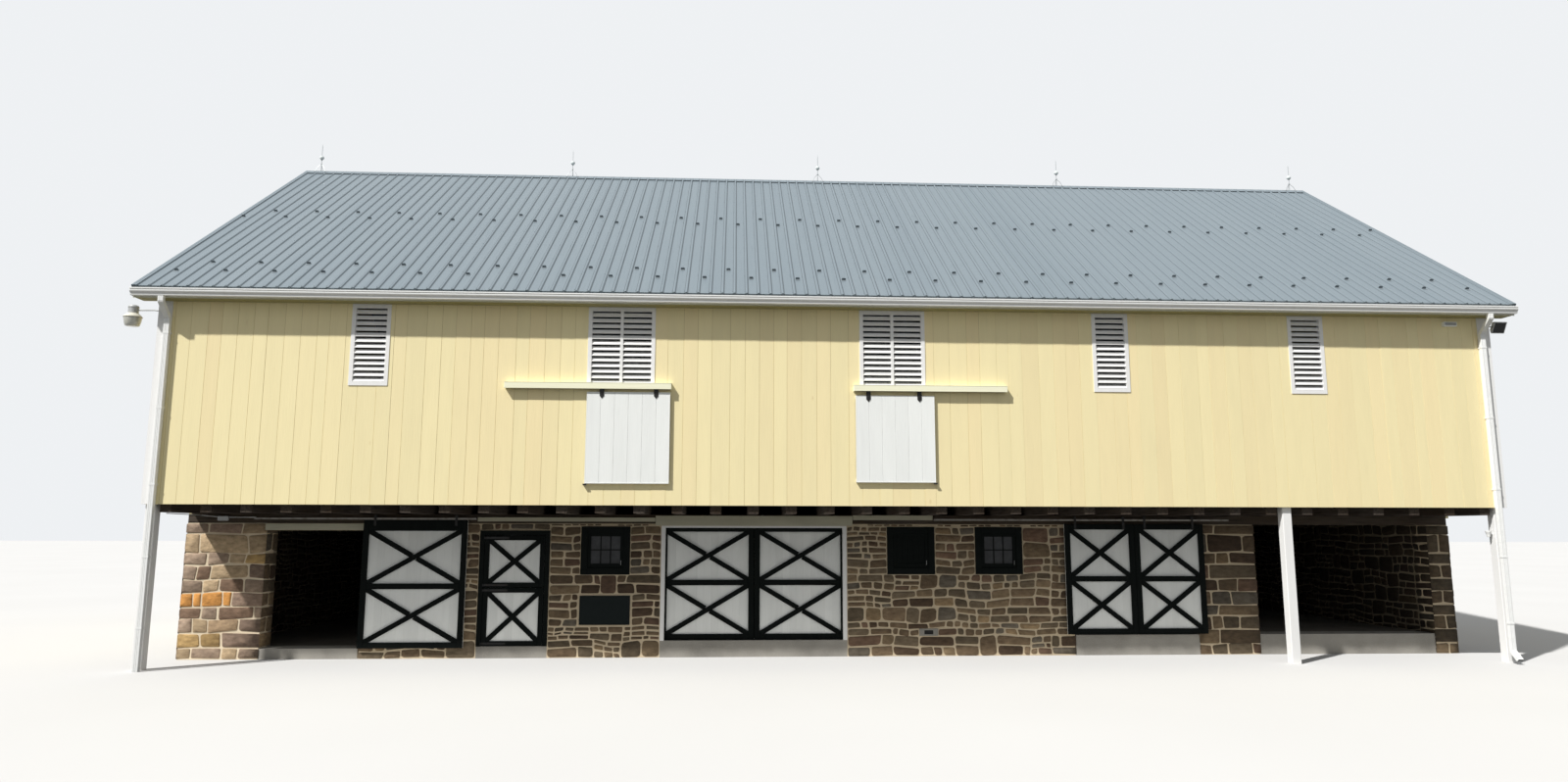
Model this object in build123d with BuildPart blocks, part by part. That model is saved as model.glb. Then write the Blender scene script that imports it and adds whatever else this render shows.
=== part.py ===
from build123d import *
import math
import os

# A timber barn on a fieldstone lower storey. The boarded upper storey overhangs the front.
# Millimetres. X runs along the front, Y from front to back, Z up from the lowest ground.

# Main body
wall_length = 25740
barn_depth = 12750
overhang_depth = 1570
siding_thickness = 60
siding_bottom = 2945
siding_lap = 40

# White corner boards and the boards along the top of the stone
corner_board_front = 250
corner_board_side = 150
corner_board_thickness = 20
header_thickness = 28
west_header = (1500, 3420, 2485, 2610)
low_header = (5620, 9140, 2660, 2740)
centre_header = (9150, 13130, 2585, 2780)
high_header = (13140, 14780, 2700, 2795)

# Stone lower storey
front_wall_thickness = 500
gable_wall_thickness = 450
rear_wall_thickness = 500
stone_top = 2620
plate_height = 180
plate_depth = 300
west_floor_top = 200
east_floor_top = 400
floor_step = 15600

# Upper floor
joist_height = 250
joist_width = 200
joist_spaces = 35
first_joist = 380
deck_thickness = 40

# Posts under the overhang
post_size = 180
corner_post_inset = 20
middle_post_start = 21295

# Roof
ridge_height = 11630
roof_pitch = 35
roof_thickness = 60
gable_overhang = 350
eave_overhang = 290
panel_drip = 50
rib_pitch = 228.6
rib_count = 116
rib_height = 19
rib_foot = 60
rib_crown = 22
ridge_cap_wing = 200
ridge_cap_thickness = 4

# Eaves and gutters
fascia_thickness = 25
fascia_height = 175
soffit_thickness = 20
gutter_depth = 125
gutter_height = 140
gutter_wall = 4
gutter_drop = 12
rake_board_height = 150
rake_board_thickness = 30

# Downspouts
spout_width = 105
spout_depth = 76
spout_inset = 190
spout_standoff = 12
spout_bottom = 80

# Front openings, each from the left end of the siding
west_opening = (1520, 3430)
dutch_opening = (5680, 7060)
centre_opening = (9270, 13010)
east_opening = (17650, 20250)
open_bay_start = 21490
door_head = 2480
centre_head = 2580
dutch_sill = 225
centre_sill = 320
east_sill = 400

# Lower windows
window_width = 980
window_bottom = 1610
window_top = 2565
window_frame = 190
window_frame_depth = 90
window_proud = 15
pane_thickness = 8
front_window_starts = (7670, 13835, 15645)
rear_window_starts = (3400, 9500, 15260, 21360)

# Louvres
louvre_drop = 10
louvre_height = 1550
louvre_single = 720
louvre_double = 1270
louvre_casing = 55
louvre_casing_proud = 20
louvre_liner = 18
louvre_fit = 1
slat_count = 13
slat_width = 86
slat_thickness = 14
slat_tilt = 50
slat_rest = 4
single_louvre_centres = (3875, 18030, 21970)
double_louvre_centres = (8560, 13740)
gable_louvre_offset = 2600

# Upper board doors and their hoods
hatch_west = (7940, 9500, 3345, 5065)
hatch_east = (13020, 14530, 3385, 5040)
hatch_thickness = 45
hatch_lap = 60
hatch_standoff = 30
hood_west = (6410, 9520)
hood_east = (12980, 15940)
hood_bottom = 5120
hood_height = 130
hood_depth = 165
hood_board = 22
hood_fall = 40
hood_fit = 1

# Braced doors
leaf_thickness = 60
leaf_board = 25
stile = 110
rail = 110
brace = 95
leaf_gap = 8
slide_standoff = 35
slide_leaf_west = (3420, 5440, 205, 2680)
slide_leaf_east_bottom = 420
slide_leaf_east_top = 2625
slide_leaf_east = (17490, 20390)
slide_leaf_meeting_gap = 6
frame_proud = 20
centre_casing = 80
centre_casing_depth = 60
centre_leaf_setback = 8
centre_stop_gap = 10
centre_meeting_gap = 10
dutch_frame = 90
dutch_frame_depth = 150
dutch_stile = 95
dutch_split = 1360
dutch_leaf_thickness = 50

# Strap hinges on pins
strap_height = 40
strap_thickness = 5
strap_length = 480
eye_radius = 12
pin_radius = 6
pin_clearance = 0.3
pin_head = 8
lug_height = 30
lug_length = 60
centre_pin_inset = 8
centre_strap_inset = 250

# Door tracks
track_size = 36
west_track = (1300, 5600)
east_track = (14790, 20950)
track_bottom = 2690
track_bracket_pitch = 580
track_bracket_width = 40
hanger_width = 45
hanger_thickness = 6
hanger_inset = 220
roller_radius = 28
roller_width = 30
running_gap = 0.5

# Lightning rods
rod_count = 5
rod_height = 720
rod_radius = 8
rod_tip = 32
rod_globe_radius = 58
rod_globe_height = 350
rod_foot_radius = 45
rod_knob_radius = 22
rod_knob_height = 165
rod_end_inset = 20

# Yard light at the left corner
lamp_reach = 600
lamp_back = 190
lamp_drop = 155
lamp_arm_size = 28
lamp_housing_radius = 88
lamp_housing_rise = 120
lamp_housing_drop = 50
lamp_shade_radius = 160
lamp_shade_drop = 125
lamp_rim = 12
lamp_bowl_radius = 150
lamp_bowl_foot_radius = 115
lamp_bowl_drop = 298

# Small lamps at the right corner
flood_width = 260
flood_depth = 130
flood_height = 240
flood_tilt = 28
flood_drop = 160
flood_back = 60
flood_reach = 110
flood_arm = 24
sensor_width = 270
sensor_height = 90
sensor_depth = 85
sensor_start = 24790
sensor_drop = 185
post_lamp_radius = 55
post_lamp_length = 120
post_lamp_arm = 80
post_lamp_height = 2440

# Flats round small round parts
fine_flats = 12
coarse_flats = 8

seat_gap = 0.3

half_length = wall_length / 2
half_depth = barn_depth / 2
front_face = -half_depth
front_inner = front_face + siding_thickness
wall_face = front_face + overhang_depth
wall_back = wall_face + front_wall_thickness
plate_top = stone_top + plate_height
deck_bottom = plate_top + joist_height
plate_back = wall_face + plate_depth
slope = math.radians(roof_pitch)
roof_end = half_length + gable_overhang
fascia_face = half_depth + eave_overhang
panel_edge = fascia_face + panel_drip


def along(distance):
    """X of a point measured from the left end of the siding."""
    return distance - half_length


def roof_top(y):
    return ridge_height - abs(y) * math.tan(slope)


def roof_underside(y):
    return roof_top(y) - roof_thickness / math.cos(slope)


# Levels that hang from the roof
eave_level = roof_underside(fascia_face)
fascia_bottom = eave_level - fascia_height
gutter_top = eave_level - gutter_drop
louvre_top = fascia_bottom - louvre_drop
lamp_height = fascia_bottom - lamp_drop

# The left gable wall is flush with the siding, and the right one stands under its inner face
wall_start = 0
wall_end = wall_length - siding_thickness
inner_start = wall_start + gable_wall_thickness
inner_end = wall_end - gable_wall_thickness
open_bay = (open_bay_start, inner_end)


def front_plane(y):
    """A plane that faces the front, with local x along X and local y up."""
    return Plane.XZ.offset(-y)


def finish(piece, label):
    piece.part.label = label
    export_step(piece.part, f"parts/{label}.step")


def beam(x, y, z):
    """A straight timber, slab or plain wall between three pairs of limits."""
    with BuildPart() as timber:
        with BuildSketch(Plane.XY.offset(z[0])):
            with Locations(((x[0] + x[1]) / 2, (y[0] + y[1]) / 2)):
                Rectangle(x[1] - x[0], y[1] - y[0])
        extrude(amount=z[1] - z[0])
    return timber


def turned(levels, flats):
    """A small round part with flat sides, from its (radius, height) points between foot and tip.

    Its outline is pushed through from each pair of sides in turn, and what they share is kept.
    """
    reach = 2 * max(radius for radius, height in levels)
    outline = [*levels, *[(-radius, height) for radius, height in reversed(levels)]]
    with BuildPart() as piece:
        for index in range(flats // 2):
            with BuildSketch(Plane.XZ.rotated((0, 0, 360 * index / flats))):
                with BuildLine():
                    Polyline(*outline, close=True)
                make_face()
            extrude(amount=reach, both=True, mode=Mode.INTERSECT if index else Mode.ADD)
    return piece


def stone_front(start, end, window_starts=()):
    """A stretch of the stone front, with holes for windows under its top course."""
    with BuildPart() as wall:
        with BuildSketch(front_plane(wall_back)):
            with Locations(((along(start) + along(end)) / 2, stone_top / 2)):
                Rectangle(end - start, stone_top)
            for left in window_starts:
                with Locations((along(left + window_width / 2), (window_bottom + window_top) / 2)):
                    Rectangle(window_width, window_top - window_bottom, mode=Mode.SUBTRACT)
        extrude(amount=front_wall_thickness)
    return wall


def window(left, face, facing):
    """A dark frame around one pane, set in its hole. facing is -1 for the front, 1 for the rear."""
    height = window_top - window_bottom
    middle = (along(left + window_width / 2), (window_bottom + window_top) / 2)
    outer = face + facing * window_proud
    inner = outer - facing * window_frame_depth
    with BuildPart() as frame:
        with BuildSketch(front_plane(max(outer, inner))):
            with Locations(middle):
                Rectangle(window_width - 2 * seat_gap, height - 2 * seat_gap)
                Rectangle(window_width - 2 * window_frame, height - 2 * window_frame, mode=Mode.SUBTRACT)
        extrude(amount=window_frame_depth)
        with BuildSketch(front_plane((outer + inner) / 2 + pane_thickness / 2)):
            with Locations(middle):
                Rectangle(window_width - 2 * window_frame, height - 2 * window_frame)
        extrude(amount=pane_thickness)
    return frame


def louvre(plane, width, bays):
    """A louvre on its wall plane: a casing on the face, a liner in the hole and tilted slats."""
    hole_width = width - 2 * louvre_casing
    hole_height = louvre_height - 2 * louvre_casing
    clear_width = hole_width - 2 * louvre_liner
    clear_height = hole_height - 2 * louvre_liner
    bay = (clear_width - (bays - 1) * louvre_casing) / bays
    pitch = clear_height / slat_count
    tilt = math.radians(slat_tilt)
    slat_rise = slat_width * math.sin(tilt) + slat_thickness * math.cos(tilt)
    lowest = slat_rest + (slat_rise - clear_height) / 2
    with BuildPart() as vent:
        with BuildSketch(plane):
            Rectangle(width, louvre_height)
            Rectangle(clear_width, clear_height, mode=Mode.SUBTRACT)
        extrude(amount=louvre_casing_proud)
        with BuildSketch(plane):
            Rectangle(hole_width - louvre_fit, hole_height - louvre_fit)
            Rectangle(clear_width, clear_height, mode=Mode.SUBTRACT)
        extrude(amount=-siding_thickness)
        if bays > 1:
            with BuildSketch(plane.offset(louvre_casing_proud)):
                Rectangle(louvre_casing, clear_height)
            extrude(amount=-(louvre_casing_proud + siding_thickness))
        side = Plane(origin=plane.origin, x_dir=plane.z_dir, z_dir=plane.x_dir)
        for index in range(bays):
            start = -clear_width / 2 + index * (bay + louvre_casing)
            with BuildSketch(side.offset(start)):
                with Locations(*[
                    ((louvre_casing_proud - siding_thickness) / 2, side.y_dir.Z * (lowest + row * pitch))
                    for row in range(slat_count)
                ]):
                    Rectangle(slat_width, slat_thickness, rotation=louvre_rotation(plane))
            extrude(amount=bay)
    return vent


def louvre_rotation(plane):
    """Slats fall towards the outside, whichever way the side plane's second axis points."""
    side_up = Plane(origin=plane.origin, x_dir=plane.z_dir, z_dir=plane.x_dir).y_dir.Z
    return -slat_tilt * side_up


def strap(pin, height, reach, leaf_side):
    """A strap hinge with an eye for its pin, at one height.

    reach is the strap's length with its sign along X. leaf_side is 1 where the leaf is behind
    the pin and -1 where it is in front.
    """
    with BuildPart() as hinge:
        with BuildSketch(Plane.XY.offset(height - strap_height / 2)):
            with Locations(pin):
                RegularPolygon(eye_radius, fine_flats)
            with Locations((pin[0] + reach / 2, pin[1] + leaf_side * (eye_radius - strap_thickness / 2))):
                Rectangle(abs(reach), strap_thickness)
            with Locations(pin):
                RegularPolygon(pin_radius + pin_clearance, fine_flats, mode=Mode.SUBTRACT)
        extrude(amount=strap_height)
    return hinge


def pintle(pin, height, lug_x, lug_y):
    """The fixed pin of a strap hinge, on a lug under the strap's eye."""
    lug_top = height - strap_height / 2 - seat_gap
    with BuildPart() as hook:
        with BuildSketch(Plane.XY.offset(lug_top - lug_height)):
            with Locations((sum(lug_x) / 2, sum(lug_y) / 2)):
                Rectangle(lug_x[1] - lug_x[0], lug_y[1] - lug_y[0])
        extrude(amount=lug_height)
        with BuildSketch(Plane.XY.offset(lug_top)):
            with Locations(pin):
                RegularPolygon(pin_radius, fine_flats)
        extrude(amount=seat_gap + strap_height + pin_head)
    return hook


def braced_leaf(x, z, front, thickness, edge, bar, panels, hangers=None, straps=()):
    """A board door with a raised frame and a cross brace in each of its stacked panels.

    x and z are the leaf's limits and front is its outer face.
    """
    middle = (x[0] + x[1]) / 2
    inner_width = x[1] - x[0] - 2 * edge
    panel_height = (z[1] - z[0] - (panels + 1) * bar) / panels
    angle = math.degrees(math.atan2(panel_height, inner_width))
    with BuildPart() as leaf:
        with BuildSketch(front_plane(front + thickness)):
            with Locations((middle, (z[0] + z[1]) / 2)):
                Rectangle(x[1] - x[0], z[1] - z[0])
        extrude(amount=leaf_board)
        with BuildSketch(front_plane(front + thickness - leaf_board)):
            with Locations((middle, (z[0] + z[1]) / 2)):
                Rectangle(x[1] - x[0], z[1] - z[0])
            for index in range(panels):
                centre = z[0] + bar + panel_height / 2 + index * (panel_height + bar)
                with Locations((middle, centre)):
                    Rectangle(inner_width, panel_height, mode=Mode.SUBTRACT)
                with Locations((middle, centre)):
                    Rectangle(math.hypot(inner_width, panel_height), brace, rotation=angle)
                    Rectangle(math.hypot(inner_width, panel_height), brace, rotation=-angle)
            with Locations((middle, (z[0] + z[1]) / 2)):
                Rectangle(x[1] - x[0], z[1] - z[0], mode=Mode.INTERSECT)
        extrude(amount=thickness - leaf_board)
        if hangers:
            rail_top = hangers["rail_bottom"] + track_size
            axle = rail_top + running_gap + roller_radius
            for spot in hangers["spots"]:
                with BuildSketch(front_plane(front)):
                    with Locations((spot, (z[1] - rail + axle + roller_radius) / 2)):
                        Rectangle(hanger_width, axle + roller_radius - z[1] + rail)
                extrude(amount=hanger_thickness)
                with BuildSketch(front_plane(front + roller_width)):
                    with Locations((spot, axle)):
                        RegularPolygon(roller_radius, fine_flats)
                extrude(amount=roller_width)
        for hinge in straps:
            add(hinge.part)
    return leaf


def track(limits, bottom, rail_back):
    """A flat rail on brackets that reach back to the timber plate."""
    start, end = along(limits[0]), along(limits[1])
    spaces = round((end - start) / track_bracket_pitch)
    pitch = (end - start - track_bracket_width) / spaces
    with BuildPart() as rail_piece:
        with BuildSketch(front_plane(rail_back)):
            with Locations(((start + end) / 2, bottom + track_size / 2)):
                Rectangle(end - start, track_size)
        extrude(amount=roller_width - hanger_thickness)
        with BuildSketch(front_plane(wall_face)):
            with Locations(*[
                (start + track_bracket_width / 2 + index * pitch, bottom + track_size / 4)
                for index in range(spaces + 1)
            ]):
                Rectangle(track_bracket_width, track_size / 2)
        extrude(amount=wall_face - rail_back)
    return rail_piece


os.makedirs("parts", exist_ok=True)

# Floors and sills
west_floor = beam(
    (along(inner_start), along(floor_step)),
    (wall_back, half_depth - rear_wall_thickness),
    (0, west_floor_top),
)
finish(west_floor, "west_floor")
east_floor = beam(
    (along(floor_step), along(inner_end)),
    (wall_back, half_depth - rear_wall_thickness),
    (0, east_floor_top),
)
finish(east_floor, "east_floor")

sill_heights = (
    (west_opening, west_floor_top),
    (dutch_opening, dutch_sill),
    (centre_opening, centre_sill),
    (east_opening, east_sill),
    (open_bay, east_floor_top),
)
with BuildPart() as door_sills:
    for opening, height in sill_heights:
        with BuildSketch(Plane.XY):
            with Locations((along(sum(opening) / 2), (wall_face + wall_back) / 2)):
                Rectangle(opening[1] - opening[0], front_wall_thickness)
        extrude(amount=height)
finish(door_sills, "door_sills")

# Stone walls
finish(stone_front(wall_start, west_opening[0]), "left_front_pier")
finish(stone_front(west_opening[1], dutch_opening[0]), "front_wall_west")
finish(stone_front(dutch_opening[1], centre_opening[0], front_window_starts[:1]), "front_wall_middle")
finish(stone_front(centre_opening[1], east_opening[0], front_window_starts[1:]), "front_wall_east")
finish(stone_front(east_opening[1], open_bay[0]), "right_front_pier")


def gable_wall(start, front_edge):
    """A stone gable wall from its front edge to the back, cut away for the end of the plate."""
    with BuildPart() as wall:
        with BuildSketch(Plane.YZ.offset(along(start))):
            with BuildLine():
                Polyline(
                    (front_edge, 0),
                    (half_depth, 0),
                    (half_depth, plate_top),
                    (plate_back, plate_top),
                    (plate_back, stone_top),
                    (front_edge, stone_top),
                    close=True,
                )
            make_face()
        extrude(amount=gable_wall_thickness)
    return wall


finish(gable_wall(wall_start, wall_back), "left_gable_wall")
finish(gable_wall(inner_end, wall_face), "right_gable_wall")

with BuildPart() as rear_stone_wall:
    with BuildSketch(front_plane(half_depth)):
        with Locations((along((inner_start + inner_end) / 2), plate_top / 2)):
            Rectangle(inner_end - inner_start, plate_top)
        for left in rear_window_starts:
            with Locations((along(left + window_width / 2), (window_bottom + window_top) / 2)):
                Rectangle(window_width, window_top - window_bottom, mode=Mode.SUBTRACT)
    extrude(amount=rear_wall_thickness)
finish(rear_stone_wall, "rear_stone_wall")

# Timber over the stone
with BuildPart() as door_lintels:
    for opening, head in (
        (west_opening, door_head),
        (dutch_opening, door_head),
        (centre_opening, centre_head),
        (east_opening, door_head),
    ):
        with BuildSketch(Plane.XY.offset(head)):
            with Locations((along(sum(opening) / 2), (wall_face + wall_back) / 2)):
                Rectangle(opening[1] - opening[0], front_wall_thickness)
        extrude(amount=stone_top - head)
finish(door_lintels, "door_lintels")

front_plate = beam((along(wall_start), along(wall_end)), (wall_face, plate_back), (stone_top, plate_top))
finish(front_plate, "front_plate")

joist_pitch = (wall_length - 2 * first_joist) / joist_spaces
with BuildPart() as floor_joists:
    with BuildSketch(front_plane(half_depth - siding_thickness)):
        with Locations(*[
            (along(first_joist + index * joist_pitch), plate_top + joist_height / 2)
            for index in range(joist_spaces + 1)
        ]):
            Rectangle(joist_width, joist_height)
    extrude(amount=barn_depth - 2 * siding_thickness)
finish(floor_joists, "floor_joists")

loft_floor = beam(
    (-half_length + siding_thickness, half_length - siding_thickness),
    (front_inner, -front_inner),
    (deck_bottom, deck_bottom + deck_thickness),
)
finish(loft_floor, "loft_floor")


# Posts under the overhang
def corner_post(end):
    """A post with its head cut back behind the gable siding. end is -1 at the left, 1 at the right."""
    outer = half_length - corner_post_inset
    inner = outer - post_size
    middle_y = front_inner + post_size / 2
    head_edge = half_length - siding_thickness
    with BuildPart() as post:
        with BuildSketch(Plane.XY):
            with Locations((end * (outer + inner) / 2, middle_y)):
                Rectangle(post_size, post_size)
        extrude(amount=siding_bottom)
        with BuildSketch(Plane.XY.offset(siding_bottom)):
            with Locations((end * (head_edge + inner) / 2, middle_y)):
                Rectangle(head_edge - inner, post_size)
        extrude(amount=deck_bottom - siding_bottom)
    return post


finish(corner_post(-1), "left_corner_post")
finish(corner_post(1), "right_corner_post")
middle_post = beam(
    (along(middle_post_start), along(middle_post_start + post_size)),
    (front_inner, front_inner + post_size),
    (0, deck_bottom),
)
finish(middle_post, "middle_post")

# Boarded upper storey
rear_louvre_places = [(centre, louvre_single, 1) for centre in single_louvre_centres]
front_louvre_places = rear_louvre_places + [(centre, louvre_double, 2) for centre in double_louvre_centres]
louvre_middle = louvre_top - louvre_height / 2
siding_top = roof_underside(half_depth)


def long_siding(inner_face, bottom, louvres, hatches):
    """The boarding of one long side, with its louvre holes and hatch doorways."""
    with BuildPart() as boards:
        with BuildSketch(front_plane(inner_face)):
            with Locations((0, (bottom + siding_top) / 2)):
                Rectangle(wall_length, siding_top - bottom)
            for centre, width, bays in louvres:
                with Locations((along(centre), louvre_middle)):
                    Rectangle(
                        width - 2 * louvre_casing,
                        louvre_height - 2 * louvre_casing,
                        mode=Mode.SUBTRACT,
                    )
            for start, end, low, high in hatches:
                with Locations((along((start + end) / 2), (low + high) / 2)):
                    Rectangle(end - start - 2 * hatch_lap, high - low - 2 * hatch_lap, mode=Mode.SUBTRACT)
        extrude(amount=siding_thickness)
    return boards


front_siding = long_siding(front_inner, siding_bottom, front_louvre_places, (hatch_west, hatch_east))
finish(front_siding, "front_siding")
finish(long_siding(half_depth, plate_top, rear_louvre_places, ()), "rear_siding")


def gable_siding(start, bottom):
    """The boarding of one gable from X start. bottom is its lower edge over the stone."""
    edge = half_depth - siding_thickness
    with BuildPart() as boards:
        with BuildSketch(Plane.YZ.offset(start)):
            with BuildLine():
                Polyline(
                    (-edge, siding_bottom),
                    (wall_face, siding_bottom),
                    (wall_face, bottom),
                    (edge, bottom),
                    (edge, roof_underside(edge) - seat_gap),
                    (0, roof_underside(0) - seat_gap),
                    (-edge, roof_underside(edge) - seat_gap),
                    close=True,
                )
            make_face()
            with Locations(*[
                (side * gable_louvre_offset, louvre_middle) for side in (-1, 1)
            ]):
                Rectangle(
                    louvre_single - 2 * louvre_casing,
                    louvre_height - 2 * louvre_casing,
                    mode=Mode.SUBTRACT,
                )
        extrude(amount=siding_thickness)
    return boards


finish(gable_siding(-half_length, plate_top), "left_gable_siding")
finish(gable_siding(half_length - siding_thickness, plate_top - siding_lap), "right_gable_siding")

# White boards around the four corners of the siding
with BuildPart() as corner_boards:
    for side, bottom in ((-1, siding_bottom), (1, plate_top)):
        with BuildSketch(Plane.XY.offset(bottom)):
            for end in (-1, 1):
                with Locations((
                    end * (half_length + corner_board_thickness - corner_board_front / 2),
                    side * (half_depth + corner_board_thickness / 2),
                )):
                    Rectangle(corner_board_front, corner_board_thickness)
                with Locations((
                    end * (half_length + corner_board_thickness / 2),
                    side * (half_depth + corner_board_thickness - corner_board_side / 2),
                )):
                    Rectangle(corner_board_thickness, corner_board_side)
        extrude(amount=fascia_bottom - seat_gap - bottom)
finish(corner_boards, "corner_boards")

# Boards along the top of the stone front
with BuildPart() as header_boards:
    for start, end, bottom, top in (west_header, low_header, centre_header, high_header):
        with BuildSketch(front_plane(wall_face - seat_gap)):
            with Locations((along((start + end) / 2), (bottom + top) / 2)):
                Rectangle(end - start, top - bottom)
        extrude(amount=header_thickness)
finish(header_boards, "header_boards")


# Louvres
def louvre_row(face, facing, places):
    """The louvres of one long side. facing is -1 for the front, 1 for the rear."""
    row = BuildPart()
    with row:
        for centre, width, bays in places:
            place = Plane(
                origin=(along(centre), face, louvre_middle),
                x_dir=(-facing, 0, 0),
                z_dir=(0, facing, 0),
            )
            add(louvre(place, width, bays).part)
    return row


finish(louvre_row(front_face, -1, front_louvre_places), "front_louvres")
finish(louvre_row(half_depth, 1, rear_louvre_places), "rear_louvres")
gable_louvres = BuildPart()
with gable_louvres:
    for end in (-1, 1):
        for side in (-1, 1):
            place = Plane(
                origin=(end * half_length, side * gable_louvre_offset, louvre_middle),
                x_dir=(0, end, 0),
                z_dir=(end, 0, 0),
            )
            add(louvre(place, louvre_single, 1).part)
finish(gable_louvres, "gable_louvres")

# Lower windows
for name, left in zip(("window_west", "window_middle", "window_east"), front_window_starts):
    finish(window(left, wall_face, -1), name)
rear_windows = BuildPart()
with rear_windows:
    for left in rear_window_starts:
        add(window(left, half_depth, 1).part)
finish(rear_windows, "rear_windows")


# Track hoods and board doors of the upper storey
def hood(limits, louvre_centre):
    """A boxed track cover with a sloping top board, open underneath and cut around the louvre above."""
    back = front_face
    with BuildPart() as cover:
        with BuildSketch(Plane.YZ.offset(along(limits[0]))):
            with BuildLine():
                Polyline(
                    (back, hood_bottom + hood_height),
                    (back, hood_bottom + hood_height - hood_board),
                    (back - hood_depth + hood_board, hood_bottom + hood_height - hood_board - hood_fall),
                    (back - hood_depth + hood_board, hood_bottom),
                    (back - hood_depth, hood_bottom),
                    (back - hood_depth, hood_bottom + hood_height - hood_fall),
                    close=True,
                )
            make_face()
        extrude(amount=limits[1] - limits[0])
        for start in (limits[0], limits[1] - hood_board):
            with BuildSketch(Plane.YZ.offset(along(start))):
                with BuildLine():
                    Polyline(
                        (back, hood_bottom),
                        (back, hood_bottom + hood_height),
                        (back - hood_depth, hood_bottom + hood_height - hood_fall),
                        (back - hood_depth, hood_bottom),
                        close=True,
                    )
                make_face()
            extrude(amount=hood_board)
        with BuildSketch(front_plane(back)):
            with Locations((along(louvre_centre), hood_bottom + hood_height)):
                Rectangle(louvre_double + 2 * hood_fit, 2 * hood_height)
        extrude(amount=louvre_casing_proud + hood_fit, mode=Mode.SUBTRACT)
    return cover


finish(hood(hood_west, double_louvre_centres[0]), "west_hood")
finish(hood(hood_east, double_louvre_centres[1]), "east_hood")


def hatch_door(limits):
    """A flat board door that hangs on two straps under its hood."""
    start, end, bottom, top = limits
    face = front_face - hatch_standoff
    with BuildPart() as door:
        with BuildSketch(front_plane(face)):
            with Locations((along((start + end) / 2), (bottom + top) / 2)):
                Rectangle(end - start, top - bottom)
        extrude(amount=hatch_thickness)
        with BuildSketch(front_plane(front_face)):
            with Locations((along((start + end) / 2), top - hatch_lap / 2)):
                Rectangle(end - start, hatch_lap)
            with Locations((along((start + end) / 2), bottom + hatch_lap / 2)):
                Rectangle(end - start, hatch_lap)
        extrude(amount=hatch_standoff)
    return door


finish(hatch_door(hatch_west), "west_hatch_door")
finish(hatch_door(hatch_east), "east_hatch_door")

# Roof slopes, each a ribbed sheet on its boarding
rib_start = -(rib_count - 1) * rib_pitch / 2
rib_points = []
for index in range(rib_count):
    centre = rib_start + index * rib_pitch
    rib_points += [
        (centre - rib_foot / 2, 0),
        (centre - rib_crown / 2, rib_height),
        (centre + rib_crown / 2, rib_height),
        (centre + rib_foot / 2, 0),
    ]
slope_length = panel_edge / math.cos(slope)


def roof_slope(side):
    """One slope, extruded down from beyond the ridge and mitred there. side is -1 at the front."""
    down = Vector(0, side * math.cos(slope), -math.sin(slope))
    apex = Vector(0, 0, ridge_height)
    start = apex - down * roof_thickness
    cut = Plane(origin=start, x_dir=(-side, 0, 0), z_dir=down)
    with BuildPart() as sheet:
        with BuildSketch(cut):
            with BuildLine():
                Polyline(
                    (-roof_end, -roof_thickness),
                    (-roof_end, 0),
                    *rib_points,
                    (roof_end, 0),
                    (roof_end, -roof_thickness),
                    close=True,
                )
            make_face()
        extrude(amount=slope_length + roof_thickness)
        split(bisect_by=Plane.XZ, keep=Keep.TOP if side < 0 else Keep.BOTTOM)
    return sheet


finish(roof_slope(-1), "front_roof")
finish(roof_slope(1), "rear_roof")

# Ridge cap, a folded sheet on the rib crowns
crown = (rib_height + seat_gap) / math.cos(slope)
wing_y = ridge_cap_wing * math.cos(slope)
wing_z = ridge_cap_wing * math.sin(slope)
cap_z = ridge_height + crown
cap_rise = ridge_cap_thickness / math.cos(slope)
with BuildPart() as ridge_cap:
    with BuildSketch(Plane.YZ.offset(-roof_end)):
        with BuildLine():
            Polyline(
                (-wing_y, cap_z - wing_z),
                (0, cap_z),
                (wing_y, cap_z - wing_z),
                (wing_y, cap_z - wing_z + cap_rise),
                (0, cap_z + cap_rise),
                (-wing_y, cap_z - wing_z + cap_rise),
                close=True,
            )
        make_face()
    extrude(amount=2 * roof_end)
finish(ridge_cap, "ridge_cap")


# Eaves
def eave(side):
    """Fascia with the soffit that runs back to the siding, between the rake boards."""
    end = roof_end - rake_board_thickness - seat_gap
    face = side * fascia_face
    inner = side * (fascia_face - fascia_thickness)
    with BuildPart() as trim:
        with BuildSketch(Plane.YZ.offset(-end)):
            with BuildLine():
                Polyline(
                    (face, fascia_bottom),
                    (face, roof_underside(face) - seat_gap),
                    (inner, roof_underside(face) - seat_gap),
                    (inner, fascia_bottom + soffit_thickness),
                    (side * half_depth, fascia_bottom + soffit_thickness),
                    (side * half_depth, fascia_bottom),
                    close=True,
                )
            make_face()
        extrude(amount=2 * end)
    return trim


finish(eave(-1), "front_fascia")
finish(eave(1), "rear_fascia")


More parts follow.
